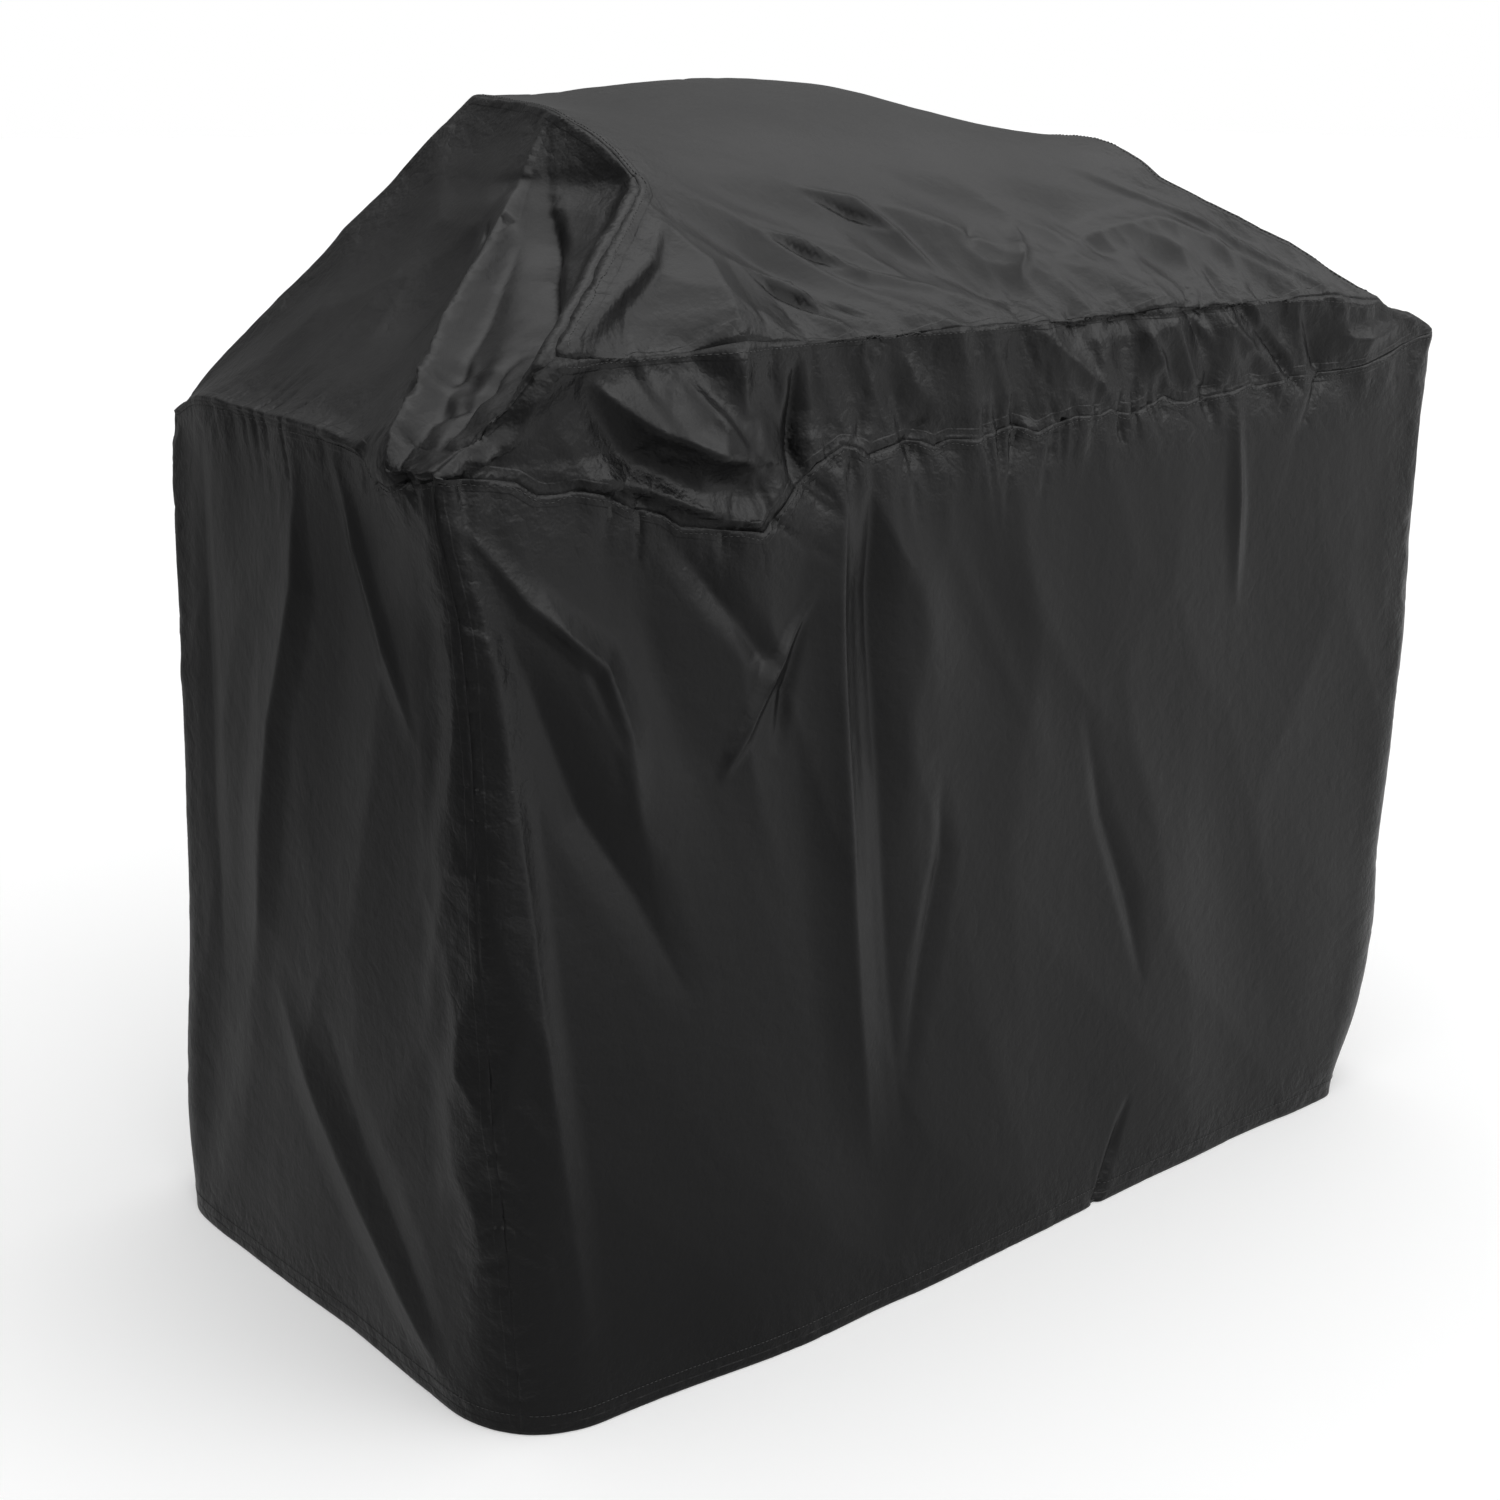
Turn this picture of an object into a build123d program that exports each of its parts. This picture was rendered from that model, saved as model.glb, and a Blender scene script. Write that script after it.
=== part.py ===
"""Fitted slip-over cover for a cart grill with two side shelves.

Origin at the middle of the floor outline. +X runs along the length, the front is -Y, +Z is up.
Each cloth panel, tape, hem tunnel and row of thread is a piece of its own.
"""

import os
from math import cos, radians, sin, sqrt, tan

from build123d import *

os.makedirs("parts", exist_ok=True)

# Overall size
length = 1220  # over both side shelves, at shelf height
width = 610  # front to back, at shelf height
height = 1170  # crest of the hood
shelf_height = 885
flare = 25  # how far the hem stands out beyond the shelf outline, on every side
shelf_corner = 15
hem_corner = 100

# Hood
hood_half_length = 330
crest_back = 150  # y of the edge where the crest turns down to the back
crest_front = 100  # y where the crest begins to curve down to the front
crest_radius = 410
hood_slope = 37.5  # degrees, of the front slope
shoulder_half_length = 515  # half length of the front slope where it meets the band

# Cloth and sewing
cloth = 2.5
shoulder_cloth = 3.5  # measured level; the shoulders lean at about 45 degrees
tape = 1.0
tape_width = 20
thread = 0.8
thread_margin = 5  # from a seam to the row of thread beside it
hem_height = 25
hem_depth = 8
hem_wall = 1.0
elastic_diameter = 5
seam_clearance = 1.0

front = -width / 2
back = width / 2
end = length / 2
crest_centre = height - crest_radius
slope_top_y = crest_front - crest_radius * sin(radians(hood_slope))
slope_top_z = crest_centre + crest_radius * cos(radians(hood_slope))
upper_seam = slope_top_z - (slope_top_y - front) * tan(radians(hood_slope))
back_lean = (back - crest_back) / (height - shelf_height)
back_skin = cloth * sqrt(1 + back_lean**2)  # the leaning back panel, measured level

# Each wall is drawn facing +Y and turned about Z: (turn, half length, distance from the middle)
walls = {
    "back": (0, end, back),
    "left": (90, back, end),
    "front": (180, end, back),
    "right": (270, back, end),
}


def save(piece, name):
    piece.part.label = name
    export_step(piece.part, f"parts/{name}.step")


def wall_level(side, z):
    """Half length, reach and corner radius of a wall's outer face at height z."""
    turn, run, reach = walls[side]
    share = 1 - z / shelf_height
    corner = shelf_corner + (hem_corner - shelf_corner) * share
    return run + flare * share, reach + flare * share, corner


def wall_strip(side, z, depth, skin):
    """A strip of one wall at height z, through half of the corner at each end."""
    run, reach, corner = wall_level(side, z)
    turn = walls[side][0]
    centre_x = run - corner
    centre_y = reach - corner
    outer = corner - depth
    inner = outer - skin
    with BuildSketch(Plane.XY.offset(z).rotated((0, 0, turn))) as strip:
        with BuildLine():
            for radius in (outer, inner):
                CenterArc((-centre_x, centre_y), radius, 90, 45)
                CenterArc((centre_x, centre_y), radius, 45, 45)
                Line((-centre_x, centre_y + radius), (centre_x, centre_y + radius))
            for toward in (-1, 1):
                Line(
                    (toward * (centre_x + outer * cos(radians(45))), centre_y + outer * sin(radians(45))),
                    (toward * (centre_x + inner * cos(radians(45))), centre_y + inner * sin(radians(45))),
                )
        make_face()
    return strip.sketch


def wall_piece(side, low, high, depth, skin):
    """A piece of one wall between two heights, its outer face sunk by depth."""
    with BuildPart() as piece:
        loft([wall_strip(side, z, depth, skin) for z in (low, high)], ruled=True)
    return piece


def hood_strip(depth, skin):
    """Side view of a sheet that follows the hood from the band over to the back edge."""
    slope_run = 1 / sin(radians(hood_slope))
    with BuildSketch(Plane.YZ) as strip:
        with BuildLine():
            for sunk in (depth, depth + skin):
                radius = crest_radius - sunk
                foot = (front + sunk * slope_run, upper_seam)
                top = (
                    crest_front - radius * sin(radians(hood_slope)),
                    crest_centre + radius * cos(radians(hood_slope)),
                )
                Line(foot, top)
                CenterArc((crest_front, crest_centre), radius, 90, hood_slope)
                Line((crest_front, crest_centre + radius), (crest_back, crest_centre + radius))
            Line(
                (front + depth * slope_run, upper_seam),
                (front + (depth + skin) * slope_run, upper_seam),
            )
            Line((crest_back, height - depth), (crest_back, height - depth - skin))
        make_face()
    return strip.sketch


def hood_edge_row(toward, depth, skin, margin, row_width):
    """A narrow row along one end of the hood and down the slope's raked edge."""
    outline = [
        (hood_half_length, crest_back - back_skin - seam_clearance),
        (hood_half_length, slope_top_y),
        (shoulder_half_length, front),
    ]
    near = [(toward * (x - margin), y) for x, y in outline]
    far = [(toward * (x - margin - row_width), y) for x, y in reversed(outline)]
    with BuildPart() as piece:
        extrude(hood_strip(depth, skin), amount=shoulder_half_length, both=True)
        with BuildSketch(Plane.XY):
            with BuildLine():
                Polyline(*near, *far, close=True)
            make_face()
        extrude(amount=2 * height, mode=Mode.INTERSECT)
    return piece


def shoulder_level(z):
    """Front and back ends of the shoulder's outer line at height z, on the +X side."""
    back_share = (z - shelf_height) / (height - shelf_height)
    back_end = (
        end + (hood_half_length - end) * back_share,
        back + (crest_back - back) * back_share,
    )
    if z <= upper_seam:
        share = (z - shelf_height) / (upper_seam - shelf_height)
        return (end + (shoulder_half_length - end) * share, front), back_end
    if z <= slope_top_z:
        share = (z - upper_seam) / (slope_top_z - upper_seam)
        x = shoulder_half_length + (hood_half_length - shoulder_half_length) * share
        return (x, front + (slope_top_y - front) * share), back_end
    y = crest_front - sqrt(max(crest_radius**2 - (z - crest_centre) ** 2, 0))
    return (hood_half_length, y), back_end


# Hood panel: over the crest and down the front slope, which widens towards the band
with BuildPart() as hood_panel:
    extrude(hood_strip(0, cloth), amount=shoulder_half_length, both=True)
    with BuildSketch(Plane.XY):
        with BuildLine():
            Polyline(
                (-hood_half_length, crest_back),
                (-hood_half_length, slope_top_y),
                (-shoulder_half_length, front),
                (shoulder_half_length, front),
                (hood_half_length, slope_top_y),
                (hood_half_length, crest_back),
                close=True,
            )
        make_face()
    extrude(amount=2 * height, mode=Mode.INTERSECT)
save(hood_panel, "hood_panel")

# Front band, upright between the two front seams
with BuildPart() as front_band:
    with BuildSketch(Plane.XZ.offset(-front - cloth)):
        with BuildLine():
            Polyline(
                (-end, shelf_height),
                (end, shelf_height),
                (shoulder_half_length, upper_seam),
                (-shoulder_half_length, upper_seam),
                close=True,
            )
        make_face()
    extrude(amount=cloth)
save(front_band, "front_band")

# Back upper panel, leaning in from the shelf line to the crest
with BuildPart() as back_upper_panel:
    with BuildSketch(Plane.YZ):
        with BuildLine():
            Polyline(
                (back, shelf_height),
                (crest_back, height),
                (crest_back - back_skin, height),
                (back - back_skin, shelf_height),
                close=True,
            )
        make_face()
    extrude(amount=end, both=True)
    with BuildSketch(Plane.XZ):
        with BuildLine():
            Polyline(
                (-end, shelf_height),
                (end, shelf_height),
                (hood_half_length, height),
                (-hood_half_length, height),
                close=True,
            )
        make_face()
    extrude(amount=width, both=True, mode=Mode.INTERSECT)
    add(hood_panel.part, mode=Mode.SUBTRACT)
save(back_upper_panel, "back_upper_panel")

# Shoulder panels, ruled from the hood's ends down to the shelf ends
arc_steps = 4
shoulder_heights = [shelf_height, upper_seam]
for step in range(arc_steps + 1):
    lean = radians(hood_slope * (1 - step / arc_steps))
    shoulder_heights.append(crest_centre + crest_radius * cos(lean))
for side, toward in (("left", -1), ("right", 1)):
    with BuildPart() as shoulder_panel:
        for z in shoulder_heights:
            (front_x, front_y), (back_x, back_y) = shoulder_level(z)
            with BuildSketch(Plane.XY.offset(z)):
                with BuildLine():
                    Polyline(
                        (toward * front_x, front_y),
                        (toward * back_x, back_y),
                        (toward * (back_x - shoulder_cloth), back_y),
                        (toward * (front_x - shoulder_cloth), front_y),
                        close=True,
                    )
                make_face()
        loft(ruled=True)
        for neighbour in (hood_panel, front_band, back_upper_panel):
            add(neighbour.part, mode=Mode.SUBTRACT)
    save(shoulder_panel, f"{side}_shoulder_panel")

# Skirts, hem tunnels, shelf tapes and the rows of thread on each wall
for side in walls:
    skirt = wall_piece(side, 0, shelf_height, 0, cloth)
    save(skirt, f"{side}_skirt" if side in ("front", "back") else f"{side}_end_skirt")

    casing = wall_piece(side, 0, hem_height, cloth, hem_depth)
    tunnel = wall_piece(side, hem_wall, hem_height - hem_wall, cloth + hem_wall, hem_depth - 2 * hem_wall)
    with BuildPart() as hem_casing:
        add(casing.part)
        add(tunnel.part, mode=Mode.SUBTRACT)
    save(hem_casing, f"hem_casing_{side}")

    tape_top = shelf_height - seam_clearance
    save(wall_piece(side, tape_top - tape_width, tape_top, cloth, tape), f"shelf_tape_{side}")

    row_top = shelf_height - thread_margin
    save(wall_piece(side, row_top - thread, row_top, -thread, thread), f"shelf_stitching_{side}")
    row_top = hem_height - thread_margin
    save(wall_piece(side, row_top - thread, row_top, -thread, thread), f"hem_stitching_{side}")

# Corner tapes, inside the rounded upright corners
tape_half_angle = 30
corner_low = hem_height + seam_clearance
corner_high = shelf_height - tape_width - 2 * seam_clearance
corners = {
    "front_left": (-1, -1, 225),
    "front_right": (1, -1, 315),
    "back_left": (-1, 1, 135),
    "back_right": (1, 1, 45),
}
for name, (toward_x, toward_y, bisector) in corners.items():
    start = bisector - tape_half_angle
    with BuildPart() as corner_tape:
        for z in (corner_low, corner_high):
            run, reach, corner = wall_level("front", z)
            centre = (toward_x * (run - corner), toward_y * (reach - corner))
            with BuildSketch(Plane.XY.offset(z)):
                with BuildLine():
                    arcs = [
                        CenterArc(centre, radius, start, 2 * tape_half_angle)
                        for radius in (corner - cloth, corner - cloth - tape)
                    ]
                    for place in (0, 1):
                        Line(arcs[0] @ place, arcs[1] @ place)
                make_face()
        loft(ruled=True)
    save(corner_tape, f"corner_tape_{name}")

# Hem elastic: one closed loop inside the four hem tunnels
elastic_z = hem_height / 2
elastic_inset = cloth + hem_depth / 2
run, reach, corner = wall_level("front", elastic_z)
with BuildPart() as hem_elastic:
    with BuildLine(Plane.XY.offset(elastic_z)):
        loop = FilletPolyline(
            (-run + elastic_inset, -reach + elastic_inset),
            (run - elastic_inset, -reach + elastic_inset),
            (run - elastic_inset, reach - elastic_inset),
            (-run + elastic_inset, reach - elastic_inset),
            close=True,
            radius=corner - elastic_inset,
        )
    with BuildSketch(Plane(origin=loop @ 0, z_dir=loop % 0)):
        Circle(elastic_diameter / 2)
    sweep()
save(hem_elastic, "hem_elastic")

# Tape and thread along the upper front seam
with BuildPart() as front_upper_tape:
    with BuildSketch(Plane.XZ.offset(-front - cloth - tape)):
        with Locations((0, upper_seam - seam_clearance - tape_width / 2)):
            Rectangle(2 * (shoulder_half_length - tape_width), tape_width)
    extrude(amount=tape)
save(front_upper_tape, "front_upper_tape")

with BuildPart() as front_upper_stitching:
    with BuildSketch(Plane.XZ.offset(-front)):
        with Locations((0, upper_seam - thread_margin)):
            Rectangle(2 * shoulder_half_length, thread)
    extrude(amount=thread)
save(front_upper_stitching, "front_upper_stitching")

# Tape under the back edge of the crest
with BuildPart() as hood_back_tape:
    with BuildSketch(Plane.XY.offset(height - cloth - tape)):
        with Locations((0, crest_back - back_skin - seam_clearance - tape_width / 2)):
            Rectangle(2 * (hood_half_length - 2 * tape_width), tape_width)
    extrude(amount=tape)
save(hood_back_tape, "hood_back_tape")

# Tape and thread along the hood's ends
for side, toward in (("left", -1), ("right", 1)):
    tape_margin = shoulder_cloth + 2 * seam_clearance
    save(hood_edge_row(toward, cloth, tape, tape_margin, tape_width / 2), f"hood_end_tape_{side}")
    save(hood_edge_row(toward, -thread, thread, thread_margin, thread), f"hood_end_stitching_{side}")
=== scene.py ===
"""Looks of the fitted grill cover: sewn cloth panels draped over a grill-shaped form."""

import math

import bpy
import numpy as np
from mathutils import Matrix, Vector, noise
from mathutils.bvhtree import BVHTree
from mathutils.geometry import delaunay_2d_cdt


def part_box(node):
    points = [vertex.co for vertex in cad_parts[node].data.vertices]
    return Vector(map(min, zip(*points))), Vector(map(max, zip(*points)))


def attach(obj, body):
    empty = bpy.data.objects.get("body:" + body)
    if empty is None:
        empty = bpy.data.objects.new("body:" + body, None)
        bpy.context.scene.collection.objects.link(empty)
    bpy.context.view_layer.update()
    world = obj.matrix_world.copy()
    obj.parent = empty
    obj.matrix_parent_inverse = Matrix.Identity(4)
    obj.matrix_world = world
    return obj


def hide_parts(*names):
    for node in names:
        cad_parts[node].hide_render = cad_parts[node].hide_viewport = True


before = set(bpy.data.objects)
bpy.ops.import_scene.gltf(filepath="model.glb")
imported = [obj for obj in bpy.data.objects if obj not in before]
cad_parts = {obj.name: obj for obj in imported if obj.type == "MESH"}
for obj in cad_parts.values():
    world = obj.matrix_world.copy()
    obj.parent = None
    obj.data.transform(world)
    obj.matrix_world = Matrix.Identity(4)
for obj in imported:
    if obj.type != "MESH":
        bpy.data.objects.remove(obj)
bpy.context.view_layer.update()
rng = np.random.default_rng(7)

# Sizes in metres, read from the frame where a node's box gives them
BAND_LOW, BAND_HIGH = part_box("front_band")
HOOD_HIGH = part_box("hood_panel")[1]
SHELF_Z = BAND_LOW.z
UPPER_SEAM_Z = BAND_HIGH.z
SHELF_X = BAND_HIGH.x
SHELF_Y = -BAND_LOW.y
SHOULDER_X = HOOD_HIGH.x
CREST_Z = HOOD_HIGH.z
CREST_BACK_Y = HOOD_HIGH.y
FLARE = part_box("right_end_skirt")[1].x - SHELF_X
SHELF_CORNER = 0.015
HEM_CORNER = 0.100
HOOD_X = 0.330
CREST_FRONT_Y = 0.100
CREST_RADIUS = 0.410
HOOD_SLOPE = math.radians(37.5)
CREST_CENTRE_Z = CREST_Z - CREST_RADIUS
SLOPE_TOP_Y = CREST_FRONT_Y - CREST_RADIUS * math.sin(HOOD_SLOPE)
SLOPE_TOP_Z = CREST_CENTRE_Z + CREST_RADIUS * math.cos(HOOD_SLOPE)
SLOPE_LENGTH = (SLOPE_TOP_Y + SHELF_Y) / math.cos(HOOD_SLOPE)
ARC_LENGTH = CREST_RADIUS * HOOD_SLOPE

HOOD_RUN = SLOPE_LENGTH + ARC_LENGTH + CREST_BACK_Y - CREST_FRONT_Y
INSIDE = np.array([0, 0, 0.6 * SHELF_Z])

# Mesh spacing of the cloth and of the form under it
CLOTH_STEP = 0.016
FORM_STEP = 0.030
LATTICE_JITTER = 0.12  # share of the spacing
LATTICE_CLEARANCE = 0.55

# How far the seam below the shelf hangs under the shelf line: place along the wall, depth
SEAM_SAGS = {
    "front": (
        (-0.61, 0), (-0.57, 0.002), (-0.52, 0.018), (-0.44, 0.042), (-0.39, 0.064),
        (-0.335, 0.086), (-0.28, 0.045), (-0.23, 0.012), (-0.17, 0.022), (-0.03, 0.020),
        (0.13, 0.013), (0.30, 0.009), (0.37, 0.002), (0.61, 0),
    ),
    "left": ((-0.305, 0), (-0.25, 0.014), (-0.20, 0.020), (-0.15, 0.004), (-0.10, 0), (0.305, 0)),
    "back": ((-0.61, 0), (-0.2, 0.008), (0.25, 0.012), (0.61, 0)),
    "right": ((-0.305, 0), (0.02, 0.007), (0.305, 0)),
}
SAG_ROUNDING = (-0.024, -0.012, 0, 0.012, 0.024)
SAG_WANDER = ((0.110, 0.0030), (0.067, 0.0026), (0.041, 0.0018))
SAG_WANDER_FULL = 0.012

WALLS = {
    "back": (0.0, SHELF_X, SHELF_Y),
    "left": (0.5 * math.pi, SHELF_Y, SHELF_X),
    "front": (math.pi, SHELF_X, SHELF_Y),
    "right": (1.5 * math.pi, SHELF_Y, SHELF_X),
}


# ---------------------------------------------------------------- the sewn shape
def wall_level(side, z):
    """Straight half length, distance to the corner arcs' centres and their radius at height z."""
    turn, run, reach = WALLS[side]
    share = 1 - z / SHELF_Z
    corner = SHELF_CORNER + (HEM_CORNER - SHELF_CORNER) * share
    return run + FLARE * share - corner, reach + FLARE * share - corner, corner


def turned(x, y, angle):
    return x * math.cos(angle) - y * math.sin(angle), x * math.sin(angle) + y * math.cos(angle)


def wall_width(side):
    """Mean half width of a wall, measured round to the middle of its corners."""
    widths = []
    for z in (0.0, SHELF_Z):
        straight, _, corner = wall_level(side, z)
        widths.append(straight + corner * math.pi / 4)
    return sum(widths) / 2


def wall_from_flat(side, flat):
    z = flat[:, 1]
    straight, centre, corner = wall_level(side, z)
    along = flat[:, 0] / wall_width(side) * (straight + corner * math.pi / 4)
    past = np.clip((np.abs(along) - straight) / corner, 0, math.pi / 4)
    x = np.sign(along) * (np.minimum(np.abs(along), straight) + corner * np.sin(past))
    y = centre + corner * np.cos(past)
    x, y = turned(x, y, WALLS[side][0])
    return np.stack([x, y, z], 1)


def wall_to_flat(side, points):
    x, y = turned(points[:, 0], points[:, 1], -WALLS[side][0])
    z = points[:, 2]
    straight, centre, corner = wall_level(side, z)
    past = np.where(np.abs(x) > straight, np.arctan2(np.abs(x) - straight, y - centre), 0.0)
    along = np.sign(x) * (np.minimum(np.abs(x), straight) + corner * past)
    return np.stack([along / (straight + corner * math.pi / 4) * wall_width(side), z], 1)


def hood_from_flat(flat):
    run = flat[:, 1]
    on_slope = run < SLOPE_LENGTH
    on_crest = run > SLOPE_LENGTH + ARC_LENGTH
    lean = HOOD_SLOPE - (run - SLOPE_LENGTH) / CREST_RADIUS
    y = CREST_FRONT_Y - CREST_RADIUS * np.sin(lean)
    z = CREST_CENTRE_Z + CREST_RADIUS * np.cos(lean)
    y = np.where(on_slope, -SHELF_Y + run * math.cos(HOOD_SLOPE), y)
    z = np.where(on_slope, UPPER_SEAM_Z + run * math.sin(HOOD_SLOPE), z)
    y = np.where(on_crest, CREST_FRONT_Y + run - SLOPE_LENGTH - ARC_LENGTH, y)
    z = np.where(on_crest, CREST_Z, z)
    return np.stack([flat[:, 0], y, z], 1)


def hood_to_flat(points):
    y = points[:, 1]
    lean = np.arcsin(np.clip((CREST_FRONT_Y - y) / CREST_RADIUS, 0, 1))
    run = SLOPE_LENGTH + CREST_RADIUS * (HOOD_SLOPE - lean)
    run = np.where(y < SLOPE_TOP_Y, (y + SHELF_Y) / math.cos(HOOD_SLOPE), run)
    run = np.where(y > CREST_FRONT_Y, SLOPE_LENGTH + ARC_LENGTH + y - CREST_FRONT_Y, run)
    return np.stack([points[:, 0], run], 1)


def band_from_flat(flat):
    return np.stack([flat[:, 0], np.full(len(flat), -SHELF_Y), flat[:, 1]], 1)


def band_to_flat(points):
    return points[:, [0, 2]]


BACK_RISE = CREST_Z - SHELF_Z
BACK_LEAN = SHELF_Y - CREST_BACK_Y
BACK_LENGTH = math.hypot(BACK_RISE, BACK_LEAN)


def back_from_flat(flat):
    share = flat[:, 1] / BACK_LENGTH
    return np.stack([flat[:, 0], SHELF_Y - BACK_LEAN * share, SHELF_Z + BACK_RISE * share], 1)


def back_to_flat(points):
    return np.stack([points[:, 0], (points[:, 2] - SHELF_Z) / BACK_RISE * BACK_LENGTH], 1)


SHOULDER_STRETCH = 1.4  # cloth length per metre of height on the leaning shoulders


def shoulder_ends(z):
    """Front x, front y, back x and back y of the shoulder's outer line at height z."""
    share = (z - SHELF_Z) / BACK_RISE
    back_x = SHELF_X + (HOOD_X - SHELF_X) * share
    back_y = SHELF_Y - BACK_LEAN * share
    low = np.clip((z - SHELF_Z) / (UPPER_SEAM_Z - SHELF_Z), 0, 1)
    mid = np.clip((z - UPPER_SEAM_Z) / (SLOPE_TOP_Z - UPPER_SEAM_Z), 0, 1)
    front_x = SHELF_X + (SHOULDER_X - SHELF_X) * low + (HOOD_X - SHOULDER_X) * mid
    front_y = -SHELF_Y + (SLOPE_TOP_Y + SHELF_Y) * mid
    fall = np.clip(z - CREST_CENTRE_Z, 0, CREST_RADIUS)
    on_arc = CREST_FRONT_Y - np.sqrt(CREST_RADIUS**2 - fall**2)
    front_y = np.where(z > SLOPE_TOP_Z, on_arc, front_y)
    return front_x, front_y, back_x, back_y


def shoulder_from_flat(toward, flat):
    y = flat[:, 0]
    z = SHELF_Z + flat[:, 1] / SHOULDER_STRETCH
    front_x, front_y, back_x, back_y = shoulder_ends(z)
    share = np.clip((y - front_y) / (back_y - front_y), 0, 1)
    return np.stack([toward * (front_x + (back_x - front_x) * share), y, z], 1)


def shoulder_to_flat(points):
    return np.stack([points[:, 1], (points[:, 2] - SHELF_Z) * SHOULDER_STRETCH], 1)


# ---------------------------------------------------------------- one welded cloth mesh
class Cloth:
    """Panels meshed in their flat patterns and welded along the seams that they share."""

    def __init__(self, step):
        self.step = step
        self.points = []
        self.seams = {}
        self.triangles = []
        self.panel_of = []
        self.flat = {}
        self.panels = []

    def seam(self, name, points, start=None, end=None):
        """A line of points; its ends may be points that another seam already has."""
        first = 0 if start is None else 1
        last = len(points) if end is None else len(points) - 1
        ids = [] if start is None else [start]
        for point in points[first:last]:
            ids.append(len(self.points))
            self.points.append(tuple(float(v) for v in point))
        if end is not None:
            ids.append(end)
        self.seams[name] = ids

    def panel(self, name, loop, to_flat, from_flat):
        """Meshes the area inside a loop of seams; a name with a minus runs backwards."""
        ids = []
        for part in loop:
            run = self.seams[part.lstrip("-")]
            run = run[::-1] if part.startswith("-") else run
            ids.extend(run[:-1] if run[-1] != run[0] else run)
        outline = to_flat(np.array([self.points[i] for i in ids]))
        inside = lattice_inside(outline, self.step)
        flat = np.concatenate([outline, inside])
        new = from_flat(inside)
        ids = ids + list(range(len(self.points), len(self.points) + len(new)))
        self.points.extend(map(tuple, new.tolist()))
        count = len(outline)
        edges = [(i, (i + 1) % count) for i in range(count)]
        found = delaunay_2d_cdt([Vector(p) for p in flat.tolist()], edges, [], 1, 1e-7)
        sources = [ids[o[0]] for o in found[3]]
        place = np.array(self.points)
        for face in found[2]:
            a, b, c = (sources[v] for v in face)
            normal = np.cross(place[b] - place[a], place[c] - place[a])
            middle = (place[a] + place[b] + place[c]) / 3 - INSIDE
            self.triangles.append((a, b, c) if normal @ middle > 0 else (a, c, b))
            self.panel_of.append(len(self.panels))
        self.flat[name] = dict(zip(ids, flat.tolist()))
        self.panels.append(name)


def lattice_inside(outline, step):
    """Slightly uneven triangular lattice inside a closed outline, clear of its edge."""
    low, high = outline.min(0), outline.max(0)
    rows = np.arange(low[1], high[1], step * math.sqrt(3) / 2)
    grid = []
    for number, v in enumerate(rows):
        us = np.arange(low[0] + (number % 2) * step / 2, high[0], step)
        grid.append(np.stack([us, np.full(len(us), v)], 1))
    grid = np.concatenate(grid)
    grid += rng.uniform(-LATTICE_JITTER, LATTICE_JITTER, grid.shape) * step
    ends = np.roll(outline, -1, 0)
    inside = np.zeros(len(grid), bool)
    near = np.full(len(grid), np.inf)
    for a, b in zip(outline, ends):
        crosses = (a[1] > grid[:, 1]) != (b[1] > grid[:, 1])
        with np.errstate(divide="ignore", invalid="ignore"):
            at = (b[0] - a[0]) * (grid[:, 1] - a[1]) / (b[1] - a[1]) + a[0]
        inside ^= crosses & (grid[:, 0] < at)
        along = np.clip(((grid - a) @ (b - a)) / max((b - a) @ (b - a), 1e-12), 0, 1)
        near = np.minimum(near, np.linalg.norm(grid - (a + along[:, None] * (b - a)), axis=1))
    return grid[inside & (near > LATTICE_CLEARANCE * step)]


def spread(start, end, step):
    """Evenly spaced values from start to end, about step apart."""
    return np.linspace(start, end, max(2, round(abs(end - start) / step) + 1))


# A wall starts at one corner and ends at the other, turning clockwise seen from above
WALL_CORNERS = {
    "back": ("back_left", "back_right"),
    "left": ("front_left", "back_left"),
    "front": ("front_right", "front_left"),
    "right": ("back_right", "front_right"),
}


def seam_sag(side, x, y):
    """How far the seam below the shelf hangs under the shelf line at a place on a wall."""
    places, depths = np.array(SEAM_SAGS[side]).T
    at = np.asarray(x if side in ("front", "back") else y)
    sag = sum(np.interp(at + shift, places, depths) for shift in SAG_ROUNDING) / len(SAG_ROUNDING)
    wander = sum(height * np.sin(2 * math.pi * at / wave + wave) for wave, height in SAG_WANDER)
    return sag + wander * np.clip(sag / SAG_WANDER_FULL, 0, 1)


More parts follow.
